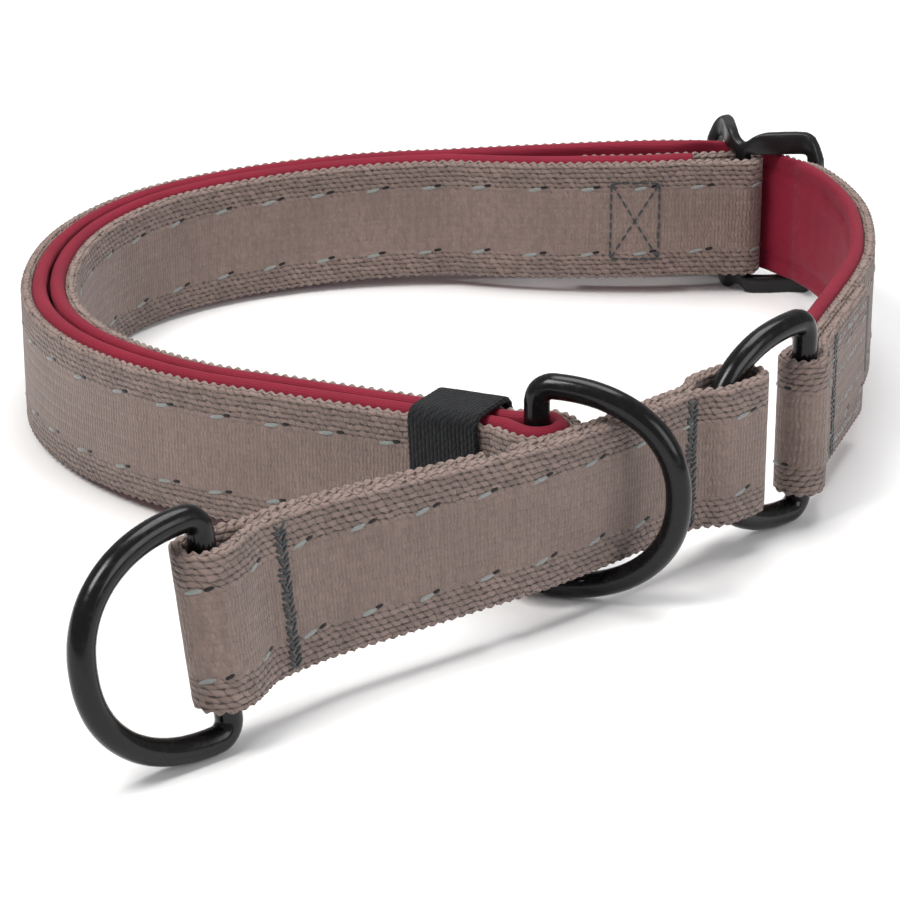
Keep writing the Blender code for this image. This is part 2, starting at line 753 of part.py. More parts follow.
def make_box_stitch(home):
    """A box of thread with a cross in it, on the inner layer near the slider."""
    half = BOX_LENGTH / 2
    high = BOX_HEIGHT / 2
    w = BOX_LINE
    slope = high / half
    dx = w / 2 * math.hypot(1, slope) / slope
    dz = dx * slope
    outside = [(-half, -high), (half, -high), (half, high), (-half, high)]
    x, z = half - w, high - w
    loops = [outside]
    loops.append([(0, dz), (-(z - dz) / slope, z), ((z - dz) / slope, z)])
    loops.append([(0, -dz), ((z - dz) / slope, -z), (-(z - dz) / slope, -z)])
    loops.append([(dx, 0), (x, (x - dx) * slope), (x, -(x - dx) * slope)])
    loops.append([(-dx, 0), (-x, -(x - dx) * slope), (-x, (x - dx) * slope)])
    box = outline_object("box_stitch", loops, THREAD_THICK)
    place, turn, left = at_length(near_side, near_total - BOX_FROM_SLIDER)
    place = place - left * (half_web + CLEARANCE + THREAD_THICK / 2)
    box.matrix_world = Matrix.Translation(place * MM) @ Matrix.Rotation(turn, 4, "Z")
    return finish(box, "box_stitch", "thread_dark", home)


def centre_on_floor(pieces, others):
    """Move everything so that the middle of the pieces' box is over the origin."""
    bpy.context.view_layer.update()
    graph = bpy.context.evaluated_depsgraph_get()
    points = []
    for piece in pieces:
        shape = piece.evaluated_get(graph)
        points += [piece.matrix_world @ vertex.co for vertex in shape.to_mesh().vertices]
        shape.to_mesh_clear()
    across = [point.x for point in points]
    along = [point.y for point in points]
    shift = Vector((-(min(across) + max(across)) / 2, -(min(along) + max(along)) / 2, 0))
    for obj in list(pieces) + list(others):
        obj.matrix_world = Matrix.Translation(shift) @ obj.matrix_world


def build():
    """Make every piece."""
    clear_scene()
    home = collection("martingale_collar")
    cutters = collection("cutters")

    ribbon("collar_webbing", web_line, WEB_WIDTH, WEB_THICK, "webbing_taupe", home)
    squeezed = [squeeze(p) for p in lining_line]
    ribbon(
        "collar_lining",
        lining_line,
        LINING_WIDTH,
        LINING_THICK,
        "lining_burgundy",
        home,
        weights=squeezed,
        side=1.0,
    )
    ribbon(
        "control_strap", loop_line, WEB_WIDTH, WEB_THICK, "webbing_taupe", home, bend=lean_over
    )

    ring_middle = RING_WIRE / 2 + RING_HEIGHT / 2
    for name, bar, heading in (
        ("slide_ring", slide_bar, SLIDE_HEADING),
        ("link_ring", link_bar, LINK_HEADING),
    ):
        bar = Vector((bar.x, bar.y, ring_middle))
        ring(name, bar, Matrix.Rotation(math.radians(heading), 4, "Z"), home)
    ring("leash_ring", leash_bar, leash_turned, home)

    make_slider(home, cutters)
    make_keeper(home)
    make_box_stitch(home)
    for name, at in (
        ("leash_bartack", BARTACK_FROM_LEASH),
        ("link_bartack", link_bartack_at),
    ):
        lean = control_lean(at)
        bartack(name + "_front", control, at, -pair, home, lean)
        bartack(name + "_back", control, at, pair, home, lean)
    bartack("collar_end_bartack", side, BARTACK_FROM_COLLAR_END, -pair, home)

    label_at = TAIL_LENGTH + LABEL_FROM_TAIL + LABEL_LENGTH / 2
    place, turn, left = at_length(side_main, label_at)
    place = place - left * (half_web + CLEARANCE + LABEL_THICK / 2)
    size = (LABEL_LENGTH, LABEL_THICK, LABEL_HEIGHT)
    block("end_label", size, place, turn, "label_dark", home)
    centre_on_floor(home.objects, cutters.objects)


build()
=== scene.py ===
"""A martingale collar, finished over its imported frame.

Every strap is swept along the same route as its solid, then sewn, ringed and coloured.
"""

import json
import math
import random

import bmesh
import bpy
from bpy.props import FloatProperty, FloatVectorProperty, IntProperty, PointerProperty
from mathutils import Matrix, Vector, noise


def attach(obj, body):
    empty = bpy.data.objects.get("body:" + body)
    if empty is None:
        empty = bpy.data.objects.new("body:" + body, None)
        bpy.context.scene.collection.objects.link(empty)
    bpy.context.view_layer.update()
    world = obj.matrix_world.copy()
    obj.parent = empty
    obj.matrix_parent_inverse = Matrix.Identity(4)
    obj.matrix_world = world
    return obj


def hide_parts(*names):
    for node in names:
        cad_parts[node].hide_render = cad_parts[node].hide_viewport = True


bl_info = {
    "name": "Martingale Collar",
    "version": (1, 0, 0),
    "blender": (4, 5, 0),
    "location": "3D View > Sidebar > Collar",
    "description": "Builds a padded martingale collar with its rings, slider and sewing",
    "category": "Add Mesh",
}

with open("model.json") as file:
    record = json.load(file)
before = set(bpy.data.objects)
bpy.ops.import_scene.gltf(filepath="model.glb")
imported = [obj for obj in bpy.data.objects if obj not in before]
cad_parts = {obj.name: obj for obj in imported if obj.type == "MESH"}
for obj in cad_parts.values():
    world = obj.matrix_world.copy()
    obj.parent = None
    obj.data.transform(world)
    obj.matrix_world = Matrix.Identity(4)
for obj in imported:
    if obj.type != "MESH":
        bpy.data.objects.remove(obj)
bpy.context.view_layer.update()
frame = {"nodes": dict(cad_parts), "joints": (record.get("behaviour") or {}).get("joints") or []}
JOINTS = {joint["name"]: joint for joint in frame["joints"]}
MM = 0.001

# Sizes that the straps' routes hang on, in millimetres, as the solids have them.
WEB_WIDTH = 25.0
WEB_THICK = 1.9
LINING_THICK = 2.6
LINING_OVER = 0.4
LINING_WIDTH = WEB_WIDTH + LINING_OVER
LINING_SQUEEZED = 1.2
SQUEEZE_FROM = 0.4
SQUEEZE_EASE = 8.0
CLEARANCE = 0.3
LAYER_GAP = 0.6
STATION_STEP = 2.6
FOLD_STEPS = 12
RING_WIRE = 4.3
RING_TOP_ROOM = 4.3
RING_DEPTH = 23.8
RING_CORNER = 2.8
RING_FULLNESS = 2.2
RING_EDGE_ROOM = 1.0
RING_HEIGHT = WEB_WIDTH + RING_EDGE_ROOM + RING_TOP_ROOM + RING_WIRE
SLIDER_LENGTH = 29.0
SLIDER_BAR = 2.6
SLIDER_RAIL = 3.3
SLIDER_EDGE_ROOM = 0.6
KEEPER_LENGTH = 13.0
KEEPER_THICK = 1.1
KEEPER_FROM_BAR = 13.6
BARTACK_FROM_EDGE = 1.25
BARTACK_HEIGHT = WEB_WIDTH - 2 * BARTACK_FROM_EDGE
BARTACK_FROM_LEASH = 14.8
BARTACK_FROM_OPEN = 1.1
BARTACK_FROM_COLLAR_END = 14.5
BOX_LENGTH = 10.5
BOX_FROM_EDGE = 4.05
BOX_HEIGHT = WEB_WIDTH - 2 * BOX_FROM_EDGE
BOX_FROM_SLIDER = 22.5
LABEL_LENGTH = 8.0
LABEL_HEIGHT = 15.0
LABEL_FROM_TAIL = 1.0
TAIL_LENGTH = 39.0
LINING_FROM_LINK_BAR = 10.0
INNER_LINING_END = 8.5
INNER_TAIL_LENGTH = 36.0
FLARE = 11.0
SLIDE_FLARE = 6.4
LEASH_FLARE = 10.0
LEASH_FOLD_STRAIGHT = 2.0
LINK_FLARE = 6.0
LINK_FOLD_SHARE = 1.103
LINK_LOOP_ROOM = 0.5
LINK_REACH_SHARE = 1.205
LEASH_LEAN = 9.0
LEASH_RISE = 0.5
SLIDE_HEADING = -17.0
LINK_HEADING = 224.0
LEASH_HEADING = 222.0
LOW_MIDDLE = WEB_WIDTH / 2 + 0.1
SLIDER_MIDDLE = WEB_WIDTH / 2 + SLIDER_EDGE_ROOM + SLIDER_RAIL
RING_MIDDLE = WEB_WIDTH / 2 + RING_WIRE + RING_EDGE_ROOM
CONTROL_MIDDLE = RING_WIRE / 2 + RING_HEIGHT / 2 - 0.3

# Sizes of the finish, in millimetres.
STRAP_STEP = 0.44  # distance between the sections of a woven strap
DASH_STEP = 0.9  # the same where only the dashes' places are read
LINING_STEP = 0.7
DASH_PITCH = 11.25
DASH_SIZE = (2.9, 0.75, 0.4)
HOLE_SIZE = (1.7, 0.75, 0.26)
HOLE_ALONG = -2.1  # from the middle of a dash to the needle hole at its end
HOLE_ABOVE = 0.45
BARTACK_STITCH = (2.0, 0.66, 0.6)
BOX_STITCH = (1.75, 0.55, 0.45)
BOX_STITCH_PITCH = 2.1
TAIL_STITCH = (1.3, 0.5, 0.3)
TAIL_STITCHES = 150
TAIL_ROWS = 9.4  # the outer rows of the tail's stitches, from the strap's middle
LINING_STITCH = (1.8, 0.55, 0.5)
LINING_STITCHES_AT = 62.0  # along the lining, from the link ring
FIBRE_SIZE = (1.6, 0.09, 0.09)
FIBRES = 90
KEEPER_CORNER = 2.0
SLIDER_VOXEL = 0.32
SLIDER_SOFTENING = 24
SLIDER_RAIL_EXTRA = 1.3  # how much taller the rails are than the solid's

# Where the straps run on the floor plan, with the height of their middles: up the right
# side, the doubled part from the back to the slide ring, the inner layer's way to the
# slider, and the control strap from the leash ring, counted from the slide ring's bar.
SIDE_ROUTE = [
    (60.4, 7.4, RING_MIDDLE),
    (64.4, 18.5, RING_MIDDLE),
    (68.4, 29.6, RING_MIDDLE),
    (72.4, 40.7, RING_MIDDLE),
    (76.2, 51.8, RING_MIDDLE),
    (79.4, 64.0, RING_MIDDLE),
    (81.1, 78.0, RING_MIDDLE),
    (81.4, 92.0, RING_MIDDLE),
    (79.5, 105.5, RING_MIDDLE),
    (75.9, 116.8, RING_MIDDLE),
    (72.3, 126.3, SLIDER_MIDDLE),
    (66.4, 134.2, SLIDER_MIDDLE),
    (58.5, 139.4, SLIDER_MIDDLE),
    (48.5, 141.2, SLIDER_MIDDLE),
    (36.0, 141.3, LOW_MIDDLE + 3.6),
    (20.0, 141.0, LOW_MIDDLE + 3.0),
    (10.0, 140.7, LOW_MIDDLE + 2.6),
]
SLIDER_POINT = 11
DOUBLE_ROUTE = [
    (0.0, 134.9, LOW_MIDDLE + 2.2),
    (-12.0, 134.5, LOW_MIDDLE + 1.8),
    (-24.0, 132.6, LOW_MIDDLE + 1.4),
    (-36.0, 128.9, LOW_MIDDLE + 1.0),
    (-48.4, 122.6, LOW_MIDDLE + 0.7),
    (-59.8, 113.2, LOW_MIDDLE + 0.5),
    (-68.5, 101.4, LOW_MIDDLE),
    (-73.4, 87.2, LOW_MIDDLE),
    (-75.2, 72.0, LOW_MIDDLE),
    (-74.4, 57.0, LOW_MIDDLE),
    (-70.9, 42.8, LOW_MIDDLE + 0.5),
    (-64.2, 29.6, LOW_MIDDLE + 0.9),
    (-54.6, 17.8, LOW_MIDDLE + 1.4),
    (-42.8, 8.0, LOW_MIDDLE + 1.9),
    (-29.0, 0.2, LOW_MIDDLE + 2.6),
    (-16.0, -7.2, RING_MIDDLE - 1.8),
    (-2.0, -15.15, RING_MIDDLE - 0.96),
    (6.0, -19.7, RING_MIDDLE - 0.48),
    (14.0, -24.25, RING_MIDDLE),
]
INNER_ROUTE = [
    (10.0, 128.2, LOW_MIDDLE + 2.6),
    (20.0, 126.4, LOW_MIDDLE + 3.0),
    (30.0, 125.4, LOW_MIDDLE + 3.4),
    (40.0, 125.2, LOW_MIDDLE + 3.6),
    (49.0, 125.9, SLIDER_MIDDLE),
]
CONTROL_ROUTE = [(-50.3, -46.27), (-44.1, -38.27), (-35.4, -29.67), (-24.1, -21.47),
                 (-12.1, -12.87), (-0.6, -4.47), (10.9, 6.13), (22.4, 17.83)]


# --- Lines and lengths ------------------------------------------------------------------


def smooth_step(value):
    """Ease from 0 to 1."""
    value = min(max(value, 0.0), 1.0)
    return value * value * (3 - 2 * value)


def lengths_along(points):
    """Distance of each point along the line."""
    out = [0.0]
    for a, b in zip(points, points[1:]):
        out.append(out[-1] + (b - a).length)
    return out


def spline_through(points, step=STATION_STEP):
    """Evenly spaced points on a smooth curve through the given points."""
    knots = [Vector(p) for p in points]
    knots = [2 * knots[0] - knots[1]] + knots + [2 * knots[-1] - knots[-2]]
    fine = []
    for i in range(1, len(knots) - 2):
        a, b, c, d = knots[i - 1 : i + 3]
        for k in range(24):
            t = k / 24
            fine.append(
                0.5
                * (
                    2 * b
                    + (c - a) * t
                    + (2 * a - 5 * b + 4 * c - d) * t * t
                    + (3 * b - a - 3 * c + d) * t * t * t
                )
            )
    fine.append(knots[-2])
    lengths = lengths_along(fine)
    count = max(2, round(lengths[-1] / step))
    spaced = []
    j = 0
    for i in range(count + 1):
        at = lengths[-1] * i / count
        while j < len(fine) - 2 and lengths[j + 1] < at:
            j += 1
        part = (at - lengths[j]) / max(lengths[j + 1] - lengths[j], 1e-9)
        spaced.append(fine[j].lerp(fine[j + 1], part))
    return spaced


def left_of(points, i):
    """Level unit vector to the left of travel at point i."""
    ahead = points[min(i + 1, len(points) - 1)] - points[max(i - 1, 0)]
    return Vector((-ahead.y, ahead.x, 0)).normalized()


def shifted(points, amount):
    """The line moved to its left by amount, a number or one number for each point."""
    if isinstance(amount, (int, float)):
        amount = [amount] * len(points)
    return [p + left_of(points, i) * amount[i] for i, p in enumerate(points)]


def arc_round(center, radius, start, turn):
    """Points on a level arc, without its two ends. Angles are in radians."""
    angles = [start + turn * k / FOLD_STEPS for k in range(1, FOLD_STEPS)]
    return [center + Vector((math.cos(a), math.sin(a), 0)) * radius for a in angles]


def heading_of(vector):
    """Angle of a level vector about +Z, in radians."""
    return math.atan2(vector.y, vector.x)


def towards(heading):
    """Level unit vector at a heading in degrees."""
    return Vector((math.cos(math.radians(heading)), math.sin(math.radians(heading)), 0))


def fold_offsets(points, closed, opened, from_end=False, flare=FLARE):
    """Offsets that open from closed to opened towards one end of the line."""
    along = lengths_along(points)
    if from_end:
        along = [along[-1] - a for a in along]
    return [opened + (closed - opened) * smooth_step(a / flare) for a in along]


def at_length(points, at):
    """A point on a line and the left of travel, at a distance along it."""
    along = lengths_along(points)
    i = min(max(sum(a <= at for a in along) - 1, 0), len(points) - 2)
    part = (at - along[i]) / (along[i + 1] - along[i])
    step = points[i + 1] - points[i]
    left = Vector((-step.y, step.x, 0)).normalized()
    return points[i] + step * part, left


# --- The lines that the straps follow, in millimetres -----------------------------------

half_web = WEB_THICK / 2
pair = half_web + CLEARANCE / 2
lining_face = half_web + CLEARANCE
doubled = LAYER_GAP / 2 + LINING_THICK + CLEARANCE + half_web
ring_fold = RING_WIRE / 2 + CLEARANCE + half_web
padded_fold = ring_fold + LINING_THICK + CLEARANCE
slider_fold = math.hypot(SLIDER_BAR / 2, SLIDER_BAR / 2) + CLEARANCE + half_web

side = spline_through(SIDE_ROUTE)
double = spline_through(DOUBLE_ROUTE)
link_bar = side[0]
slide_bar = double[-1]
link_opening = fold_offsets(side, pair, ring_fold)
side_main = shifted(side, link_opening)
tail_stop = max(i for i, a in enumerate(lengths_along(side)) if a <= TAIL_LENGTH)
tail = shifted(side, [-o for o in link_opening])[: tail_stop + 1]
slide_opening = fold_offsets(double, doubled, padded_fold, True, SLIDE_FLARE)
outer = shifted(double, [-o for o in slide_opening])
inner = shifted(double, slide_opening)

slider_at = Vector(SIDE_ROUTE[SLIDER_POINT])
slider_station = min(range(len(side_main)), key=lambda i: (side_main[i] - slider_at).length)
slider_along = side_main[slider_station - 1] - side_main[slider_station + 1]
slider_along.z = 0
slider_along.normalize()
slider_out = Vector((-slider_along.y, slider_along.x, 0))
bar_depth = lining_face + LINING_SQUEEZED + CLEARANCE + slider_fold + half_web
slider_bar = side_main[slider_station] - slider_out * bar_depth
slider_bar.z = SLIDER_MIDDLE

tail_spacing = lining_face + LINING_THICK + CLEARANCE + half_web
fold_line = slider_bar - (Vector(INNER_ROUTE[-1]) + Vector((0, tail_spacing / 2, 0)))
fold_heading = heading_of(fold_line)
fold_left = Vector((-math.sin(fold_heading), math.cos(fold_heading), 0))
near_side = spline_through(
    [inner[1], inner[0]] + INNER_ROUTE + [slider_bar - fold_left * slider_fold]
)[1:]
near_lengths = lengths_along(near_side)
near_total = near_lengths[-1]
far_side = []
for index, point in enumerate(near_side):
    left_over = near_total - near_lengths[index]
    if left_over <= INNER_TAIL_LENGTH:
        opening = smooth_step(left_over / FLARE)
        spacing = 2 * slider_fold + (tail_spacing - 2 * slider_fold) * opening
        normal = left_of(near_side, index) if left_over > STATION_STEP else fold_left
        far_side.append(point + normal * spacing)

link_turn = heading_of(side[1] - side[0])
slide_turn = heading_of(double[-1] - double[-2])
web_line = (
    tail[::-1]
    + arc_round(link_bar, ring_fold, link_turn - math.pi / 2, -math.pi)
    + side_main
    + outer
    + arc_round(slide_bar, padded_fold, slide_turn - math.pi / 2, math.pi)
    + inner[::-1][:-1]
    + near_side
    + arc_round(slider_bar, slider_fold, fold_heading - math.pi / 2, math.pi)
    + far_side[::-1]
)

# The lining follows the left of the webbing from near the link ring to near the slider.
first = len(tail) + FOLD_STEPS - 1
while (web_line[first] - link_bar).length < LINING_FROM_LINK_BAR:
    first += 1
last = len(web_line) - len(far_side) - FOLD_STEPS + 1
while (web_line[last - 1] - slider_bar).length < INNER_LINING_END:
    last -= 1
lining_line = shifted(web_line, lining_face)[first:last]
for point in lining_line:
    point.z += (LINING_WIDTH - WEB_WIDTH) / 2

# The control strap, clear of the fold round the slide ring's bar, to its fold on the bow.
strap_edge = abs(CONTROL_MIDDLE - RING_WIRE / 2 - RING_HEIGHT / 2) + WEB_WIDTH / 2
edge_share = (1 - (2 * strap_edge / RING_HEIGHT) ** RING_FULLNESS) ** (1 / RING_FULLNESS)
bow_bend = (RING_DEPTH - RING_CORNER) * (1 - edge_share)
link_fold_at = RING_DEPTH - bow_bend * LINK_REACH_SHARE
link_fold_middle = link_bar + towards(LINK_HEADING) * link_fold_at
outer_side = slide_turn - math.pi / 2
(before_x, before_y), (last_x, last_y) = CONTROL_ROUTE[-2:]
control_side = math.atan2(last_y - before_y, last_x - before_x) - math.pi / 2
fold_reach = padded_fold / math.cos((outer_side - control_side) / 2)
clear_of_fold = towards(math.degrees(outer_side + control_side) / 2) * fold_reach
control_from = slide_bar + clear_of_fold
control_points = [(control_from.x + x, control_from.y + y) for x, y in CONTROL_ROUTE]
control_points.append((link_fold_middle.x, link_fold_middle.y))
control = spline_through([(x, y, CONTROL_MIDDLE) for x, y in control_points])
control_lengths = lengths_along(control)
control_total = control_lengths[-1]
for point, at in zip(control, control_lengths):
    point.z += LEASH_RISE * (1 - smooth_step(at / control_total))
link_fold = ring_fold + LINK_LOOP_ROOM
link_fold_straight = bow_bend * LINK_FOLD_SHARE
link_bartack_at = control_total - link_fold_straight - LINK_FLARE - BARTACK_FROM_OPEN


def control_offset(at):
    """Half the distance between the control strap's layers, at a distance along it."""
    from_leash = 1 - smooth_step((at - LEASH_FOLD_STRAIGHT) / LEASH_FLARE)
    from_link = 1 - smooth_step((control_total - at - link_fold_straight) / LINK_FLARE)
    return pair + (ring_fold - pair) * from_leash + (link_fold - pair) * from_link


def control_lean(at):
    """Lean of the control strap in radians, at a distance along it."""
    return math.radians(LEASH_LEAN) * (1 - smooth_step(at / (0.75 * control_total)))


control_offsets = [control_offset(a) for a in control_lengths]
front_layer = shifted(control, [-o for o in control_offsets])
back_layer = shifted(control, control_offsets)
seam = len(control) // 2
loop_line = (
    back_layer[:seam][::-1]
    + arc_round(
        control[0], ring_fold, heading_of(control[1] - control[0]) + math.pi / 2, math.pi
    )
    + front_layer
    + arc_round(
        control[-1], link_fold, heading_of(control[-1] - control[-2]) - math.pi / 2, math.pi
    )
    + back_layer[seam + 1 :][::-1]
)

leash_left = left_of(control, 0)
leash_tilt = control_lean(0)
leash_up = (leash_left * math.sin(leash_tilt) + Vector((0, 0, math.cos(leash_tilt)))).normalized()
leash_away = towards(LEASH_HEADING)
leash_away = (leash_away - leash_up * leash_away.dot(leash_up)).normalized()

SHIFT = Vector(JOINTS["slide_ring_swing"]["pos_m"]) / MM - slide_bar
SHIFT.z = 0


def upright(line, i):
    """The way up of a strap at a point of its line."""
    return Vector((0, 0, 1))


def leaning(line, i):
    """The way up of the control strap, which leans towards the leash ring."""
    k = min(range(len(control)), key=lambda n: (control[n].xy - line[i].xy).length_squared)
    tilt = math.tan(control_lean(control_lengths[k]))
    return Vector((0, 0, 1)) + left_of(control, k) * tilt


class Station:
    """One section of a strap: its middle, the left of travel, the way up, and its distance."""

    def __init__(self, place, left, up, at):
        self.place = place
        self.left = left
        self.up = up
        self.at = at


def stations(line, step, way_up=upright):
    """Closely spaced sections along a strap's line, in millimetres."""
    coarse_ups = [way_up(line, i) for i in range(len(line))]
    fine = spline_through(line, step)
    marks = lengths_along(line)
    total = lengths_along(fine)
    made = []
    j = 0
    for i, place in enumerate(fine):
        at = total[i] * marks[-1] / total[-1]
        while j < len(line) - 2 and marks[j + 1] < at:
            j += 1
        part = min(max((at - marks[j]) / max(marks[j + 1] - marks[j], 1e-9), 0), 1)
        ahead = fine[min(i + 2, len(fine) - 1)] - fine[max(i - 2, 0)]
        left = Vector((-ahead.y, ahead.x, 0)).normalized()
        made.append(Station(place, left, coarse_ups[j].lerp(coarse_ups[j + 1], part), total[i]))
    return made


# --- Making meshes ----------------------------------------------------------------------


def deselect():
    """Nothing selected, and object mode."""
    if bpy.context.object and bpy.context.object.mode != "OBJECT":
        bpy.ops.object.mode_set(mode="OBJECT")
    bpy.ops.object.select_all(action="DESELECT")


def take(obj):
    """Make obj the only selected object."""
    deselect()
    obj.select_set(True)
    bpy.context.view_layer.objects.active = obj
    return obj


def mesh_object(name, points, faces, smooth=True):
    """A mesh object in the scene, from points in metres."""
    mesh = bpy.data.meshes.new(name)
    mesh.from_pydata(points, [], faces)
    mesh.update()
    obj = bpy.data.objects.new(name, mesh)
    bpy.context.scene.collection.objects.link(obj)
    if smooth:
        mesh.shade_smooth()
    return obj


def outwards(obj):
    """Turn every face of a closed mesh outwards."""
    work = bmesh.new()
    work.from_mesh(obj.data)
    bmesh.ops.recalc_face_normals(work, faces=work.faces)
    work.to_mesh(obj.data)
    work.free()


def sweep(name, line, section, closed=False):
    """A closed body swept along stations.

    section(station) gives the points round it as (up, left, across): two places in
    millimetres and the value that the cloth pattern reads across the strap.
    """
    points = []
    pattern = []
    count = 0
    for station in line:
        ring = section(station)
        count = len(ring)
        for up, left, across in ring:
            place = station.place + SHIFT + station.left * left + station.up * up
            points.append(place * MM)
            pattern.append((station.at * MM, across * MM))
    faces = []
    rows = len(line)
    for i in range(rows if closed else rows - 1):
        here = i * count
        there = (i + 1) % rows * count
        for k in range(count):
            n = (k + 1) % count
            faces.append((here + k, here + n, there + n, there + k))
    if not closed:
        faces.append(tuple(range(count))[::-1])
        faces.append(tuple((rows - 1) * count + k for k in range(count)))
    obj = mesh_object(name, points, faces)
    layer = obj.data.uv_layers.new(name="cloth")
    for loop in obj.data.loops:
        layer.data[loop.index].uv = pattern[loop.vertex_index]
    outwards(obj)
    return obj


def strap_section(width, thick, bump, pitch):
    """The section of a woven strap: two flat faces and two rope-like edges."""
    rows = 10
    edge = [math.radians(a) for a in (60, 30, 0, -30, -60)]
    straight = width / 2 - thick / 2

    def section(station):
        out = []
        for side_sign in (1, -1):
            for k in range(rows + 1):
                up = side_sign * straight * (2 * k / rows - 1)
                crown = 0.05 * noise.noise(Vector((station.at * 0.21, up * 0.3, 5.0 * side_sign)))
                out.append((up, side_sign * (thick / 2 + crown), up))
            for angle in edge:
                twist = station.at / pitch * math.tau + angle * 1.2 * side_sign
                swell = bump * math.cos(twist)
                up = straight + (thick / 2 + swell) * math.cos(angle)
                out.append(
                    (
                        side_sign * up,
                        side_sign * (thick / 2 + swell * 0.8) * math.sin(angle),
                        side_sign * (straight + thick / 2 * (math.pi / 2 - abs(angle))),
                    )
                )
        return out

    return section


def copies(name, shape, places):
    """One mesh with a copy of the shape's mesh at each place, then the shape is removed."""
    points = []
    faces = []
    source = shape.data
    for place in places:
        start = len(points)
        points += [place @ vertex.co for vertex in source.vertices]
        faces += [tuple(start + v for v in polygon.vertices) for polygon in source.polygons]
    obj = mesh_object(name, points, faces)
    bpy.data.objects.remove(shape, do_unlink=True)
    return obj


def grain(length, height, depth, segments=8, rings=5):
    """A rounded stitch lying along X, in metres."""
    deselect()
    bpy.ops.mesh.primitive_uv_sphere_add(segments=segments, ring_count=rings, radius=0.5)
    obj = bpy.context.object
    obj.data.transform(Matrix.Rotation(math.pi / 2, 4, "Y"))
    for vertex in obj.data.vertices:
        x, y, z = vertex.co
        fuller = math.copysign(abs(2 * x) ** 0.8 / 2, x)
        vertex.co = (fuller * length * MM, y * height * MM, z * depth * MM)
    return obj


def on_face(station, up, out, sign, turn=0.0):
    """The place of a stitch on a strap's face: X along the strap, Y up, Z out from the face."""
    raised = station.up.normalized()
    along = raised.cross(station.left * sign).normalized()
    face = along.cross(raised).normalized()
    place = (station.place + SHIFT + station.up * up + station.left * sign * out) * MM
    turned = Matrix((along, raised, face)).transposed().to_4x4()
    return Matrix.Translation(place) @ turned @ Matrix.Rotation(turn, 4, "Z")


def dress(obj, material, slot, body, *nodes):
    """Give a finished piece its material and body, and hide the nodes that it stands for."""
    obj.data.materials.clear()
    obj.data.materials.append(material)
    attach(obj, body)
    if nodes:
        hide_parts(*nodes)
    return obj


# --- Materials --------------------------------------------------------------------------


def wire(tree, value, socket):
    """Link a socket to a socket, or set a plain value on it."""
    if isinstance(value, bpy.types.NodeSocket):
        tree.links.new(value, socket)
    else:
        socket.default_value = value


def calc(tree, operation, *values):
    """A math node's result."""
    node = tree.nodes.new("ShaderNodeMath")
    node.operation = operation
    for socket, value in zip(node.inputs, values):
        wire(tree, value, socket)
    return node.outputs[0]


def ranged(tree, value, low, high, to_low=0.0, to_high=1.0):
    """A value eased from one range to another."""
    node = tree.nodes.new("ShaderNodeMapRange")
    node.interpolation_type = "SMOOTHSTEP"
    for socket, given in zip(node.inputs, (value, low, high, to_low, to_high)):
        wire(tree, given, socket)
    return node.outputs[0]


def between(tree, part, first_value, second_value):
    """A number on the way from one value to another."""
    rest = calc(tree, "MULTIPLY", first_value, calc(tree, "SUBTRACT", 1.0, part))
    return calc(tree, "MULTIPLY_ADD", second_value, part, rest)


def blended(tree, part, first_color, second_color, kind="MIX"):
    """Two colours mixed."""
    node = tree.nodes.new("ShaderNodeMix")
    node.data_type = "RGBA"
    node.blend_type = kind
    wire(tree, part, node.inputs[0])
    wire(tree, first_color, node.inputs[6])
    wire(tree, second_color, node.inputs[7])
    return node.outputs[2]


def speckle(tree, vector, scale, detail=2.0):
    """Noise from 0 to 1."""
    node = tree.nodes.new("ShaderNodeTexNoise")
    wire(tree, vector, node.inputs["Vector"])
    node.inputs["Scale"].default_value = scale
    node.inputs["Detail"].default_value = detail
    return node.outputs["Fac"]


def new_group(name, inputs, outputs):
    """An empty node group with named sockets, and its input and output nodes."""
    tree = bpy.data.node_groups.new(name, "ShaderNodeTree")
    for label, kind in inputs:
        tree.interface.new_socket(name=label, in_out="INPUT", socket_type=kind)
    for label, kind in outputs:
        tree.interface.new_socket(name=label, in_out="OUTPUT", socket_type=kind)
    return tree, tree.nodes.new("NodeGroupInput"), tree.nodes.new("NodeGroupOutput")


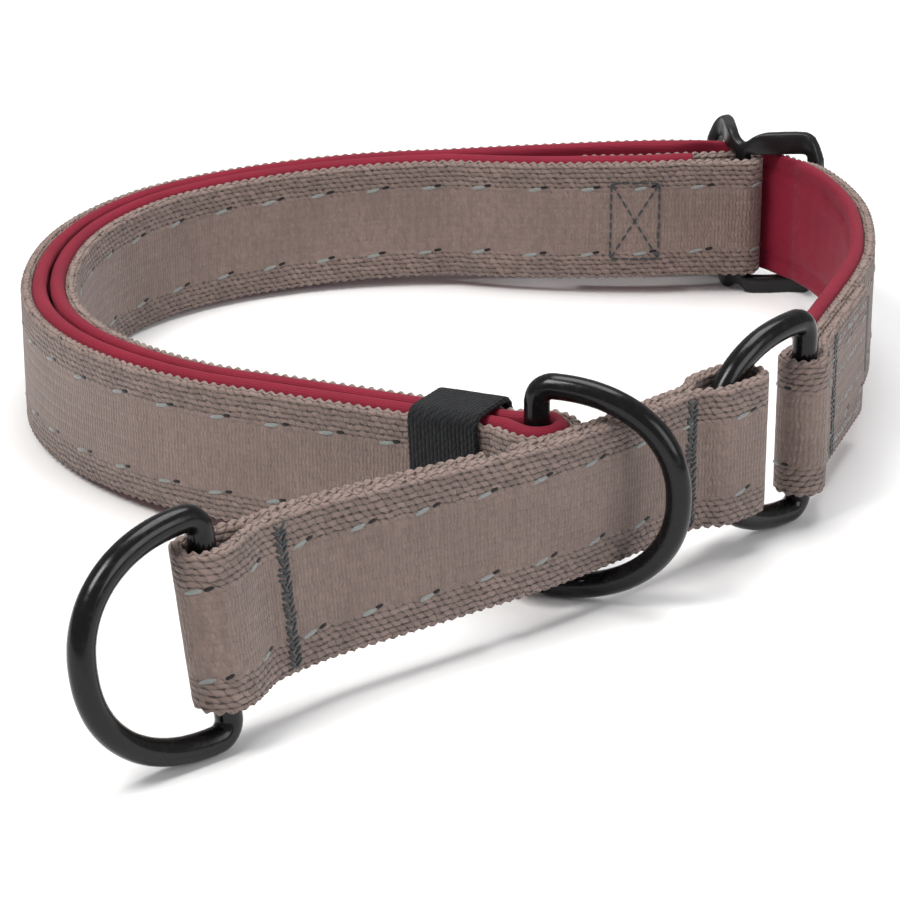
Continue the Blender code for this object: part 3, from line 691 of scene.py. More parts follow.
def woven_rows():
    """Staggered grains of yarn in rows: their height, and a tone for each grain."""
    found = bpy.data.node_groups.get("Woven Rows")
    if found:
        return found
    number = "NodeSocketFloat"
    tree, given, made = new_group(
        "Woven Rows",
        [("Vector", "NodeSocketVector"), ("Grain", number), ("Row", number), ("Slant", number)],
        [("Height", number), ("Tone", number), ("Gap", number)],
    )
    split = tree.nodes.new("ShaderNodeSeparateXYZ")
    wire(tree, given.outputs["Vector"], split.inputs[0])
    y = calc(tree, "DIVIDE", split.outputs[1], given.outputs["Row"])
    row = calc(tree, "FLOOR", y)
    in_row = calc(tree, "SUBTRACT", calc(tree, "SUBTRACT", y, row), 0.5)
    x = calc(tree, "DIVIDE", split.outputs[0], given.outputs["Grain"])
    x = calc(tree, "MULTIPLY_ADD", row, 0.5, x)
    x = calc(tree, "MULTIPLY_ADD", in_row, given.outputs["Slant"], x)
    cell = calc(tree, "FLOOR", x)
    in_cell = calc(tree, "SUBTRACT", calc(tree, "SUBTRACT", x, cell), 0.5)
    across = calc(tree, "MULTIPLY", in_row, 2.0)
    along = calc(tree, "MULTIPLY", in_cell, 2.0)
    across = calc(tree, "SUBTRACT", 1.0, calc(tree, "MULTIPLY", across, across))
    along = calc(tree, "SUBTRACT", 1.0, calc(tree, "POWER", calc(tree, "ABSOLUTE", along), 2.6))
    height = calc(tree, "MULTIPLY", calc(tree, "SQRT", across), calc(tree, "SQRT", along))
    narrowed = calc(tree, "MULTIPLY", along, 0.72)
    gap = calc(tree, "SUBTRACT", 1.0, calc(tree, "MAXIMUM", across, narrowed))
    join = tree.nodes.new("ShaderNodeCombineXYZ")
    wire(tree, cell, join.inputs[0])
    wire(tree, row, join.inputs[1])
    tone = tree.nodes.new("ShaderNodeTexWhiteNoise")
    tone.noise_dimensions = "2D"
    wire(tree, join.outputs[0], tone.inputs["Vector"])
    wire(tree, height, made.inputs["Height"])
    wire(tree, tone.outputs["Value"], made.inputs["Tone"])
    wire(tree, gap, made.inputs["Gap"])
    return tree


def rows_of(tree, vector, grain_length, row, slant):
    """Place the Woven Rows group and return its height, tone and gap."""
    node = tree.nodes.new("ShaderNodeGroup")
    node.node_tree = woven_rows()
    wire(tree, vector, node.inputs["Vector"])
    node.inputs["Grain"].default_value = grain_length * MM
    node.inputs["Row"].default_value = row * MM
    node.inputs["Slant"].default_value = slant
    return node.outputs["Height"], node.outputs["Tone"], node.outputs["Gap"]


def start_material(name, roughness, **constants):
    """A material with its shader's plain numbers set, and the coordinates of the cloth."""
    material = bpy.data.materials.new(name)
    material.use_nodes = True
    tree = material.node_tree
    shader = tree.nodes["Principled BSDF"]
    shader.inputs["Roughness"].default_value = roughness
    for label, value in constants.items():
        shader.inputs[label.replace("_", " ")].default_value = value
    return material, tree, shader


def cloth_map(tree):
    """The strap's own coordinates: metres along it and across it."""
    node = tree.nodes.new("ShaderNodeUVMap")
    node.uv_map = "cloth"
    return node.outputs[0]


def object_map(tree):
    """Object coordinates."""
    return tree.nodes.new("ShaderNodeTexCoord").outputs["Object"]


def bumped(tree, shader, height, depth):
    """Feed a height from 0 to 1 to the shader as a bump, depth in millimetres."""
    node = tree.nodes.new("ShaderNodeBump")
    node.inputs["Distance"].default_value = depth * MM
    wire(tree, height, node.inputs["Height"])
    wire(tree, node.outputs[0], shader.inputs["Normal"])


def lighter(color, amount):
    """A colour times a number."""
    return (color[0] * amount, color[1] * amount, color[2] * amount, 1.0)


def webbing_material(colour, gap_shade_colour):
    """Nylon webbing: slanted rows of yarn at the edges and fine ribs down the middle, with painted
    shade between the yarns and a painted highlight on the crest of each edge.
    """
    found = bpy.data.materials.get("taupe_webbing")
    if found:
        return found
    material, tree, shader = start_material(
        "taupe_webbing", 0.75, Sheen_Weight=0.2, Sheen_Roughness=0.4, Specular_IOR_Level=0.35
    )
    cloth = cloth_map(tree)
    split = tree.nodes.new("ShaderNodeSeparateXYZ")
    wire(tree, cloth, split.inputs[0])
    wave = calc(tree, "MULTIPLY", speckle(tree, cloth, 420.0, 2.0), 0.0009)
    along = calc(tree, "ADD", split.outputs[0], wave)
    join = tree.nodes.new("ShaderNodeCombineXYZ")
    wire(tree, along, join.inputs[0])
    wire(tree, calc(tree, "ADD", split.outputs[1], wave), join.inputs[1])
    edge_height, edge_tone, edge_gap = rows_of(tree, join.outputs[0], 1.55, 0.98, 0.4)
    fine_height, fine_tone, fine_gap = rows_of(tree, join.outputs[0], 0.7, 1.1, 0.2)
    uneven = speckle(tree, cloth, 1100.0, 2.0)
    rib = calc(tree, "SINE", calc(tree, "MULTIPLY", along, math.tau / 0.0007))
    rib = calc(tree, "MULTIPLY_ADD", rib, 0.5, 0.5)
    middle = calc(tree, "MULTIPLY_ADD", fine_height, 0.35, calc(tree, "MULTIPLY", rib, 0.3))
    middle = calc(tree, "MULTIPLY_ADD", uneven, 0.5, middle)
    from_middle = calc(tree, "ABSOLUTE", split.outputs[1])
    zone = ranged(tree, from_middle, 0.0052, 0.0078)
    height = between(tree, zone, middle, edge_height)
    tone = between(tree, zone, calc(tree, "MULTIPLY_ADD", fine_tone, 0.5, 0.2), edge_tone)
    lit = blended(tree, tone, lighter(colour, 0.78), lighter(colour, 1.28))
    patches = ranged(tree, speckle(tree, cloth, 75.0, 3.0), 0.35, 0.65)
    lit = blended(tree, calc(tree, "MULTIPLY", patches, 0.5), lit, lighter(colour, 0.8))
    streaks = tree.nodes.new("ShaderNodeMapping")
    streaks.inputs["Scale"].default_value = (900.0, 60.0, 1.0)
    wire(tree, cloth, streaks.inputs["Vector"])
    columns = ranged(tree, speckle(tree, streaks.outputs[0], 1.0, 1.0), 0.35, 0.7)
    lit = blended(tree, calc(tree, "MULTIPLY", columns, 0.35), lit, lighter(colour, 1.22))
    # Painted highlight: the crest of both rope-like edges is blended paler, as where the rounded
    # edges catch the light.
    rim_highlight = ranged(tree, from_middle, 0.0112, 0.0125, 0.0, 0.4)
    lit = blended(tree, rim_highlight, lit, lighter(colour, 1.5))
    # Painted shade: the colour is pulled towards the dark gap colour where the yarn lies low and
    # between the grains, in place of the shadow in the weave's hollows.
    ragged = calc(tree, "MULTIPLY_ADD", uneven, 0.9, calc(tree, "SUBTRACT", height, 0.42))
    recess_shade = ranged(tree, ragged, 0.0, 0.6, 0.22, 0.0)
    gap = calc(tree, "MULTIPLY_ADD", edge_gap, zone, calc(tree, "MULTIPLY", fine_gap, 0.45))
    gap = calc(tree, "MULTIPLY_ADD", uneven, 1.4, calc(tree, "SUBTRACT", gap, 0.74))
    gap_shade = calc(tree, "MAXIMUM", recess_shade, ranged(tree, gap, 0.42, 0.8, 0.0, 0.9))
    wire(tree, blended(tree, gap_shade, lit, (*gap_shade_colour, 1.0)), shader.inputs["Base Color"])
    fuzz = calc(tree, "MULTIPLY_ADD", speckle(tree, cloth, 2600.0, 2.0), 0.5, height)
    bumped(tree, shader, fuzz, 0.36)
    return material


def lining_material(colour):
    """Soft padded lining with a fine knit, paler where it is rubbed, and painted shade between the
    grains of the knit.
    """
    material, tree, shader = start_material(
        "burgundy_lining",
        0.62,
        Specular_IOR_Level=0.2,
        Sheen_Weight=0.08,
        Sheen_Roughness=0.45,
        Sheen_Tint=(1.0, 0.55, 0.6, 1.0),
    )
    cloth = cloth_map(tree)
    height, tone = rows_of(tree, cloth, 0.62, 0.42, 0.9)[:2]
    patches = ranged(tree, speckle(tree, cloth, 60.0, 3.0), 0.3, 0.7)
    worn = calc(tree, "MULTIPLY", patches, 0.6)
    lit = blended(tree, worn, lighter(colour, 1.12), lighter(colour, 0.78))
    lit = blended(tree, calc(tree, "MULTIPLY", tone, 0.25), lit, lighter(colour, 1.35))
    # Painted shade: the knit is darkened where its grains lie low, in place of the shadow between
    # them.
    gap_shade = ranged(tree, height, 0.0, 0.5, 0.45, 0.0)
    wire(tree, blended(tree, gap_shade, lit, lighter(colour, 0.4)), shader.inputs["Base Color"])
    bumped(tree, shader, height, 0.08)
    return material


def ring_material(colour):
    """Glossy black plating with faint scuffs."""
    material, tree, shader = start_material(
        "black_ring", 0.2, Coat_Weight=0.14, Coat_Roughness=0.08, Specular_IOR_Level=0.22
    )
    place = object_map(tree)
    scuffs = ranged(tree, speckle(tree, place, 700.0, 4.0), 0.45, 0.75)
    rough = calc(tree, "MULTIPLY_ADD", scuffs, 0.14, 0.2)
    wire(tree, rough, shader.inputs["Roughness"])
    lit = blended(tree, calc(tree, "MULTIPLY", scuffs, 0.5), (*colour, 1.0), lighter(colour, 2.0))
    wire(tree, lit, shader.inputs["Base Color"])
    bumped(tree, shader, speckle(tree, place, 420.0, 2.0), 0.03)
    return material


def slider_material(colour):
    """Cast black slider, satin with a faint pebble."""
    material, tree, shader = start_material(
        "black_slider", 0.33, Coat_Weight=0.15, Coat_Roughness=0.2, Specular_IOR_Level=0.3
    )
    place = object_map(tree)
    pebble = speckle(tree, place, 1500.0, 2.0)
    wire(tree, calc(tree, "MULTIPLY_ADD", pebble, 0.2, 0.26), shader.inputs["Roughness"])
    lit = blended(tree, pebble, (*colour, 1.0), lighter(colour, 1.8))
    wire(tree, lit, shader.inputs["Base Color"])
    bumped(tree, shader, pebble, 0.05)
    return material


def keeper_material(colour, lit_colour):
    """Black ribbed nylon with greyer yarn where the light catches it, and painted shade between the
    yarns.
    """
    material, tree, shader = start_material(
        "black_keeper", 0.6, Sheen_Weight=0.04, Specular_IOR_Level=0.25
    )
    cloth = cloth_map(tree)
    height, tone = rows_of(tree, cloth, 1.3, 0.72, 0.5)[:2]
    lit = blended(tree, tone, (*colour, 1.0), (*lit_colour, 1.0))
    # Painted shade: the weave is darkened where its yarn lies low, in place of the shadow between
    # the ribs.
    gap_shade = ranged(tree, height, 0.0, 0.6, 0.9, 0.0)
    wire(tree, blended(tree, gap_shade, lit, lighter(colour, 0.35)), shader.inputs["Base Color"])
    fuzz = calc(tree, "MULTIPLY_ADD", speckle(tree, cloth, 3000.0, 2.0), 0.3, height)
    bumped(tree, shader, fuzz, 0.3)
    return material


def thread_material(name, colour, shine):
    """Twisted sewing thread."""
    found = bpy.data.materials.get(name)
    if found:
        return found
    material, tree, shader = start_material(
        name, 0.55, Sheen_Weight=0.3, Specular_IOR_Level=shine
    )
    place = object_map(tree)
    fibres = speckle(tree, place, 2600.0, 3.0)
    lit = blended(tree, fibres, lighter(colour, 0.6), lighter(colour, 1.4))
    wire(tree, lit, shader.inputs["Base Color"])
    bumped(tree, shader, fibres, 0.1)
    return material


def label_material(colour):
    """Tight dark label cloth."""
    material, tree, shader = start_material("dark_label", 0.75, Sheen_Weight=0.3)
    cloth = cloth_map(tree)
    height, tone = rows_of(tree, cloth, 0.5, 0.3, 0.0)[:2]
    lit = blended(tree, tone, lighter(colour, 0.8), lighter(colour, 1.5))
    wire(tree, lit, shader.inputs["Base Color"])
    bumped(tree, shader, height, 0.08)
    return material


# --- Settings ---------------------------------------------------------------------------


def colour_setting(name, description, default):
    """A colour that can be set in the panel."""
    return FloatVectorProperty(
        name=name, description=description, default=default, subtype="COLOR"
    )


class CollarSettings(bpy.types.PropertyGroup):
    """Sizes and colours of the finished collar."""

    strap_thickness: FloatProperty(
        name="Strap thickness",
        description="Thickness of the webbing as it shows",
        default=2.05 * MM,
        unit="LENGTH",
    )
    edge_bump: FloatProperty(
        name="Edge bump",
        description="Height of the yarn bumps along a strap's edge",
        default=0.26 * MM,
        unit="LENGTH",
    )
    edge_pitch: FloatProperty(
        name="Edge pitch",
        description="Distance between yarn bumps along a strap's edge",
        default=1.9 * MM,
        unit="LENGTH",
    )
    dash_pitch: FloatProperty(
        name="Dash pitch",
        description="Distance between two pale dashes",
        default=DASH_PITCH * MM,
        unit="LENGTH",
    )
    dash_rows: FloatProperty(
        name="Dash rows",
        description="Distance of each row of dashes from the strap's middle",
        default=6.95 * MM,
        unit="LENGTH",
    )
    bartack_stitches: IntProperty(
        name="Bartack stitches", description="Stitches in each row of a bartack", default=24
    )
    webbing_colour: colour_setting("Webbing", "Colour of the yarn", (0.2, 0.145, 0.126))
    # Painted shade: the dark colour laid between the yarns in place of the shadow there.
    gap_shade_colour: colour_setting("Gaps", "Colour between the yarns", (0.026, 0.016, 0.014))
    lining_colour: colour_setting("Lining", "Colour of the lining", (0.21, 0.009, 0.027))
    black: colour_setting("Black", "Colour of the rings and slider", (0.0035, 0.0035, 0.004))
    keeper_colour: colour_setting("Keeper", "Colour of the keeper", (0.002, 0.0022, 0.003))
    keeper_light: colour_setting("Keeper yarn", "Its paler yarn", (0.009, 0.01, 0.013))
    thread_colour: colour_setting("Thread", "Colour of the sewing", (0.013, 0.016, 0.018))
    dash_colour: colour_setting("Dashes", "Colour of the dashes", (0.19, 0.21, 0.2))
    label_colour: colour_setting("Label", "Colour of the label", (0.04, 0.034, 0.04))


# --- Operators --------------------------------------------------------------------------


class COLLAR_OT_webbing(bpy.types.Operator):
    """Weave the collar's long strap"""

    bl_idname = "collar.webbing"
    bl_label = "Webbing"

    def execute(self, context):
        """Sweep the strap along its whole way."""
        s = context.scene.collar
        section = strap_section(
            WEB_WIDTH - 0.3, s.strap_thickness / MM, s.edge_bump / MM, s.edge_pitch / MM
        )
        obj = sweep("webbing", stations(web_line, STRAP_STEP), section)
        material = webbing_material(s.webbing_colour, s.gap_shade_colour)
        dress(obj, material, "webbing_taupe", "collar", "collar_webbing")
        return {"FINISHED"}


def squeeze(point):
    """How much of its thickness the lining keeps near the slider."""
    away = (point - side_main[slider_station]).length - SLIDER_LENGTH * SQUEEZE_FROM
    kept = LINING_SQUEEZED / LINING_THICK
    if point.y < slider_bar.y and point.x < slider_bar.x:
        return 1.0
    return kept + (1 - kept) * smooth_step(away / SQUEEZE_EASE)


def lining_section(station):
    """The lining's section: flat on the webbing, a bead along each edge and a soft middle."""
    half = LINING_WIDTH / 2
    keep = squeeze(station.place)
    thick = LINING_THICK * keep
    bead = min(thick * 0.52, 1.35)
    stitch = 0.5 + 0.5 * math.cos(station.at / DASH_PITCH * math.tau)
    out = [(up, -0.2, up) for up in (-half + bead, -half / 2, 0, half / 2, half - bead)]
    for sign in (1, -1):
        for angle in (-60, -25, 0, 25, 60):
            a = math.radians(angle)
            up = sign * (half + 0.15 - bead + bead * math.cos(a))
            left = thick / 2 + (thick / 2 + 0.1) * math.sin(a) * sign
            out.append((up, left, sign * (half + bead * (1 - abs(a)))))
        if sign == 1:
            for k in range(19):
                up = (half - bead) * (1 - k / 9)
                from_edge = half - abs(up)
                groove = math.exp(-(((from_edge - 3.3) / 0.75) ** 2))
                soft = noise.noise(Vector((station.at * 0.16, up * 0.12, 3.0)))
                crease = noise.noise(Vector((station.at * 0.22, up * 0.09, 9.0)))
                left = thick * (1 - groove * (0.34 + 0.14 * stitch))
                left += keep * (0.2 * soft + 0.16 * crease)
                out.append((up, left, up))
    return out


class COLLAR_OT_lining(bpy.types.Operator):
    """Pad the collar's lining"""

    bl_idname = "collar.lining"
    bl_label = "Lining"

    def execute(self, context):
        """Sweep the padded lining beside the webbing."""
        obj = sweep("lining", stations(lining_line, LINING_STEP), lining_section)
        material = lining_material(context.scene.collar.lining_colour)
        dress(obj, material, "lining_burgundy", "collar", "collar_lining")
        return {"FINISHED"}


class COLLAR_OT_control_strap(bpy.types.Operator):
    """Weave the control strap's loop"""

    bl_idname = "collar.control_strap"
    bl_label = "Control strap"

    def execute(self, context):
        """Sweep the loop round the link ring's bow and the leash ring's bar."""
        s = context.scene.collar
        section = strap_section(
            WEB_WIDTH - 0.3, s.strap_thickness / MM, s.edge_bump / MM * 1.2, s.edge_pitch / MM
        )
        obj = sweep("control_loop", stations(loop_line, STRAP_STEP, leaning), section)
        material = webbing_material(s.webbing_colour, s.gap_shade_colour)
        dress(obj, material, "webbing_taupe", "control", "control_strap")
        return {"FINISHED"}


def fuller(value):
    """A sine or cosine changed to make an ellipse fuller."""
    return math.copysign(abs(value) ** (2 / RING_FULLNESS), value)


def ring_line(bow_steps=56, corner_steps=8):
    """The middle of a D-ring's wire in its own plane: x away from the bar, z up."""
    half = RING_HEIGHT / 2
    bow = RING_DEPTH - RING_CORNER
    corner = []
    for k in range(corner_steps + 1):
        turn = math.pi / 2 * k / corner_steps
        corner.append(
            (RING_CORNER * (1 - math.cos(turn)), half - RING_CORNER * (1 - math.sin(turn)))
        )
    line = [(0, z) for z in (-8.0, 0.0, 8.0)] + corner
    for k in range(1, bow_steps):
        turn = math.pi / 2 - math.pi * k / bow_steps
        line.append((RING_CORNER + bow * fuller(math.cos(turn)), half * fuller(math.sin(turn))))
    line += [(x, -z) for x, z in corner[::-1]]
    return [Vector((x, 0, z)) for x, z in line]


class COLLAR_OT_rings(bpy.types.Operator):
    """Bend the three D-rings"""

    bl_idname = "collar.rings"
    bl_label = "D-rings"

    def execute(self, context):
        """Give a closed line a round wire for each ring."""
        material = ring_material(context.scene.collar.black)
        leash = Matrix((leash_away, leash_up.cross(leash_away), leash_up)).transposed().to_4x4()
        turned = {
            "slide_ring": Matrix.Rotation(math.radians(SLIDE_HEADING), 4, "Z"),
            "link_ring": Matrix.Rotation(math.radians(LINK_HEADING), 4, "Z"),
            "leash_ring": leash,
        }
        for node, turn in turned.items():
            bar = Vector(JOINTS[node + "_swing"]["pos_m"])
            data = bpy.data.curves.new(node + "_wire", "CURVE")
            data.dimensions = "3D"
            data.twist_mode = "MINIMUM"
            line = data.splines.new("POLY")
            path = ring_line()
            line.points.add(len(path) - 1)
            for point, place in zip(line.points, path):
                point.co = (*(bar + turn.to_3x3() @ (place * MM)), 1)
            line.use_cyclic_u = True
            data.bevel_depth = RING_WIRE / 2 * MM
            data.bevel_resolution = 6
            obj = bpy.data.objects.new(node + "_wire", data)
            context.scene.collection.objects.link(obj)
            take(obj)
            bpy.ops.object.convert(target="MESH")
            obj = bpy.context.object
            obj.data.shade_smooth()
            outwards(obj)
            dress(obj, material, "ring_black", node, node)
        return {"FINISHED"}


def soften(obj, times):
    """Smooth the active object's mesh."""
    modifier = obj.modifiers.new("Soften", "SMOOTH")
    modifier.factor = 0.5
    modifier.iterations = times
    bpy.ops.object.modifier_apply(modifier="Soften")


class COLLAR_OT_slider(bpy.types.Operator):
    """Cast the slider with softened edges"""

    bl_idname = "collar.slider"
    bl_label = "Slider"

    def execute(self, context):
        """Round a copy of the slider's solid."""
        obj = bpy.data.objects.new("slider_cast", frame["nodes"]["slider"].data.copy())
        context.scene.collection.objects.link(obj)
        take(obj)
        bpy.ops.object.mode_set(mode="EDIT")
        bpy.ops.mesh.select_all(action="SELECT")
        bpy.ops.mesh.remove_doubles(threshold=0.00001)
        bpy.ops.object.mode_set(mode="OBJECT")
        skin = obj.modifiers.new("Skin", "REMESH")
        skin.mode = "VOXEL"
        skin.voxel_size = SLIDER_VOXEL * MM
        bpy.ops.object.modifier_apply(modifier="Skin")
        soften(obj, SLIDER_SOFTENING)
        middle = SLIDER_MIDDLE * MM
        for vertex in obj.data.vertices:
            from_middle = vertex.co.z - middle
            rail = smooth_step((abs(from_middle) / MM - WEB_WIDTH / 2 - 0.6) / 3.0)
            taller = math.copysign(SLIDER_RAIL_EXTRA * MM * rail, from_middle)
            vertex.co.z = max(vertex.co.z + taller, 0)
        obj.data.shade_smooth()
        dress(obj, slider_material(context.scene.collar.black), "slider_black", "slider", "slider")
        return {"FINISHED"}


def keeper_way():
    """Stations round the doubled strap, for the keeper: its way up runs along the strap."""
    total = lengths_along(double)[-1]
    place, left = at_length(double, total - KEEPER_FROM_BAR)
    along = (double[-4] - double[-10]).normalized()
    rise = left.cross(along) * -1
    wide = doubled + half_web + CLEARANCE + KEEPER_THICK / 2 - 0.05
    high = WEB_WIDTH / 2 + LINING_WIDTH - WEB_WIDTH + CLEARANCE + KEEPER_THICK / 2
    turned = []
    for cx, cz, start in ((1, 1, 0), (-1, 1, 90), (-1, -1, 180), (1, -1, 270)):
        for k in range(9):
            a = math.radians(start + 90 * k / 8)
            turned.append(
                (
                    cx * (wide - KEEPER_CORNER) + KEEPER_CORNER * math.cos(a),
                    cz * (high - KEEPER_CORNER) + KEEPER_CORNER * math.sin(a),
                    a,
                )
            )
    filled = []
    for (x0, z0, a0), (x1, z1, a1) in zip(turned, turned[1:] + turned[:1]):
        steps = max(1, round(math.hypot(x1 - x0, z1 - z0) / 0.5))
        if a1 < a0:
            a1 += math.tau
        for k in range(steps):
            part = k / steps
            filled.append((x0 + (x1 - x0) * part, z0 + (z1 - z0) * part, a0 + (a1 - a0) * part))
    way = []
    at = 0.0
    for x, z, a in filled:
        outward = (left * math.cos(a) + rise * math.sin(a)).normalized()
        here = place + left * x + rise * z
        if way:
            at += (here - way[-1].place).length
        way.append(Station(here, outward, along, at))
    return way


def fibre_places():
    """Loose fibres along the keeper's lower edge."""
    seed = random.Random(5)
    way = [station for station in keeper_way() if station.left.z < -0.2]
    places = []
    for _ in range(FIBRES):
        station = seed.choice(way)
        along = station.up * seed.uniform(-0.5, 0.5) * KEEPER_LENGTH
        turn = Matrix.Rotation(seed.uniform(-0.7, 0.7), 4, "Y")
        turn = turn @ Matrix.Rotation(seed.uniform(0.9, 2.2), 4, "X")
        place = station.place + along + station.left * KEEPER_THICK / 2 + SHIFT
        places.append(Matrix.Translation(place * MM) @ turn)
    return places


class COLLAR_OT_keeper(bpy.types.Operator):
    """Weave the keeper band"""

    bl_idname = "collar.keeper"
    bl_label = "Keeper"

    def execute(self, context):
        """Sweep a narrow strap round both layers of the collar."""
        s = context.scene.collar
        section = strap_section(KEEPER_LENGTH, KEEPER_THICK, 0.06, 1.1)
        obj = sweep("keeper_weave", keeper_way(), section, closed=True)
        material = keeper_material(s.keeper_colour, s.keeper_light)
        dress(obj, material, "keeper_black", "keeper", "keeper_band")
        obj = copies("keeper_fibres", grain(*FIBRE_SIZE, 5, 4), fibre_places())
        dress(obj, material, "keeper_black", "keeper")
        return {"FINISHED"}


def dash_places(line, first_at, last_at, sign, rows, pitch, out, shift_along=0.0, lift=0.0):
    """Places of the dashes on one face of a strap."""
    places = []
    marks = [first_at + k * pitch for k in range(int((last_at - first_at) / pitch) + 1)]
    seed = random.Random(7)
    for at in marks:
        for row in (-rows, rows):
            near = at + seed.uniform(-0.3, 0.3) + shift_along * sign
            station = min(line, key=lambda s: abs(s.at - near))
            tilt = math.radians(12 + seed.uniform(-4, 4))
            places.append(on_face(station, row + lift + seed.uniform(-0.2, 0.2), out, sign, tilt))
    return places


class COLLAR_OT_dashes(bpy.types.Operator):
    """Run the pale dashes along both edges of the straps"""

    bl_idname = "collar.dashes"
    bl_label = "Dashes"

    def execute(self, context):
        """Copy one dash, and the dark hole at its end, along each strap."""
        s = context.scene.collar
        pale = thread_material("pale_dash", s.dash_colour, 0.6)
        dark = thread_material("needle_hole", (0.012, 0.009, 0.009), 0.1)
        web = stations(web_line, DASH_STEP)
        loop = stations(loop_line, DASH_STEP, leaning)
        web_marks = lengths_along(web_line)
        scale = web[-1].at / web_marks[-1]
        start = web_marks[first] * scale
        end = web_marks[last] * scale
        out = s.strap_thickness / MM / 2
        rows = s.dash_rows / MM
        pitch = s.dash_pitch / MM
        for body, line, spans in (
            ("collar", web, ((3.0, web[-1].at - 3, -1), (3.0, start, 1), (end, web[-1].at - 3, 1))),
            ("control", loop, ((6.0, loop[-1].at - 3, -1),)),
        ):
            dashes = []
            holes = []
            for first_at, last_at, sign in spans:
                dashes += dash_places(line, first_at, last_at, sign, rows, pitch, out)
                holes += dash_places(
                    line, first_at, last_at, sign, rows, pitch, out - 0.02, HOLE_ALONG, HOLE_ABOVE
                )
            obj = copies(body + "_dashes", grain(*DASH_SIZE), dashes)
            dress(obj, pale, "webbing_taupe", body)
            obj = copies(body + "_needle_holes", grain(*HOLE_SIZE), holes)
            dress(obj, dark, "thread_dark", body)
        return {"FINISHED"}


def control_station(at):
    """A section of the control strap's middle line."""
    place, left = at_length(control, at)
    tilt = math.tan(control_lean(at))
    return Station(place, left, Vector((0, 0, 1)) + left * tilt, at)


def sewn_at(line, at):
    """An upright section of a line, for the sewing on a strap that follows it."""
    place, left = at_length(line, at)
    return Station(place, left, Vector((0, 0, 1)), at)


def face_height(settings):
    """How far the finished strap's face is from its middle."""
    return settings.strap_thickness / MM / 2


def bartack_places(node, station, sign, count, out):
    """Two rows of crossing stitches over one sewn bar."""
    seed = random.Random(node)
    places = []
    for row in (-1, 1):
        for k in range(count):
            up = BARTACK_HEIGHT * ((k + 0.5) / count - 0.5) + seed.uniform(-0.12, 0.12)
            raised = out + seed.uniform(-0.06, 0.06)
            tilt = math.radians(40 * row + seed.uniform(-22, 22))
            aside = row * 0.5 + seed.uniform(-0.2, 0.2)
            place = on_face(station, up, raised, sign)
            place = place @ Matrix.Translation((aside * MM, 0, 0))
            places.append(place @ Matrix.Rotation(tilt, 4, "Z"))
    return places


class COLLAR_OT_bartacks(bpy.types.Operator):
    """Sew the five bartacks"""

    bl_idname = "collar.bartacks"
    bl_label = "Bartacks"

    def execute(self, context):
        """Lay crossing stitches over each sewn bar."""
        s = context.scene.collar
        material = thread_material("dark_thread", s.thread_colour, 0.5)
        leash = control_station(BARTACK_FROM_LEASH)
        link = control_station(link_bartack_at)
        for node, body, station, sign in (
            ("leash_bartack_front", "control", leash, -1),
            ("leash_bartack_back", "control", leash, 1),
            ("link_bartack_front", "control", link, -1),
            ("link_bartack_back", "control", link, 1),
            ("collar_end_bartack", "collar", sewn_at(side, BARTACK_FROM_COLLAR_END), -1),
        ):
            places = bartack_places(node, station, sign, s.bartack_stitches, pair + face_height(s))
            obj = copies(node + "_thread", grain(*BARTACK_STITCH, 6), places)
            dress(obj, material, "thread_dark", body, node)
        return {"FINISHED"}


class COLLAR_OT_box(bpy.types.Operator):
    """Sew the box with its cross"""

    bl_idname = "collar.box"
    bl_label = "Box stitch"

    def execute(self, context):
        """Lay stitches end to end along the box's sides and diagonals."""
        s = context.scene.collar
        station = sewn_at(near_side, near_total - BOX_FROM_SLIDER)
        x = BOX_LENGTH / 2 - 0.3
        z = BOX_HEIGHT / 2 - 0.3
        low_left, high_left, high_right, low_right = (-x, -z), (-x, z), (x, z), (x, -z)
        places = []
        for (x0, z0), (x1, z1) in (
            (low_left, high_left),
            (high_left, high_right),
            (high_right, low_right),
            (low_right, low_left),
            (low_left, high_right),
            (high_left, low_right),
        ):
            turn = math.atan2(z1 - z0, x1 - x0)
            count = round(math.hypot(x1 - x0, z1 - z0) / BOX_STITCH_PITCH)
            for k in range(count):
                part = (k + 0.5) / count
                place = on_face(station, z0 + (z1 - z0) * part, face_height(s), -1)
                place = place @ Matrix.Translation(((x0 + (x1 - x0) * part) * MM, 0, 0))
                places.append(place @ Matrix.Rotation(turn, 4, "Z"))
        obj = copies("box_thread", grain(*BOX_STITCH, 6), places)
        material = thread_material("dark_thread", s.thread_colour, 0.5)
        dress(obj, material, "thread_dark", "collar", "box_stitch")
        return {"FINISHED"}


class COLLAR_OT_tail_threads(bpy.types.Operator):
    """Scatter the grey stitches over the folded tail"""

    bl_idname = "collar.tail_threads"
    bl_label = "Tail threads"

    def execute(self, context):
        """Lay loose stitches in four rows between the bartack and the tail's end."""
        seed = random.Random(11)
        places = []
        for _ in range(TAIL_STITCHES):
            at = BARTACK_FROM_COLLAR_END + 2 + seed.random() * (TAIL_LENGTH - 18.5)
            up = seed.choice((-1, -0.36, 0.36, 1)) * TAIL_ROWS + seed.uniform(-0.5, 0.5)
            turn = math.radians(seed.uniform(-25, 25))
            out = pair + face_height(context.scene.collar)
            places.append(on_face(sewn_at(side, at), up, out, -1, turn))
        obj = copies("tail_thread", grain(*TAIL_STITCH, 6), places)
        material = thread_material("grey_thread", (0.2, 0.19, 0.19), 0.5)
        dress(obj, material, "webbing_taupe", "collar")
        return {"FINISHED"}


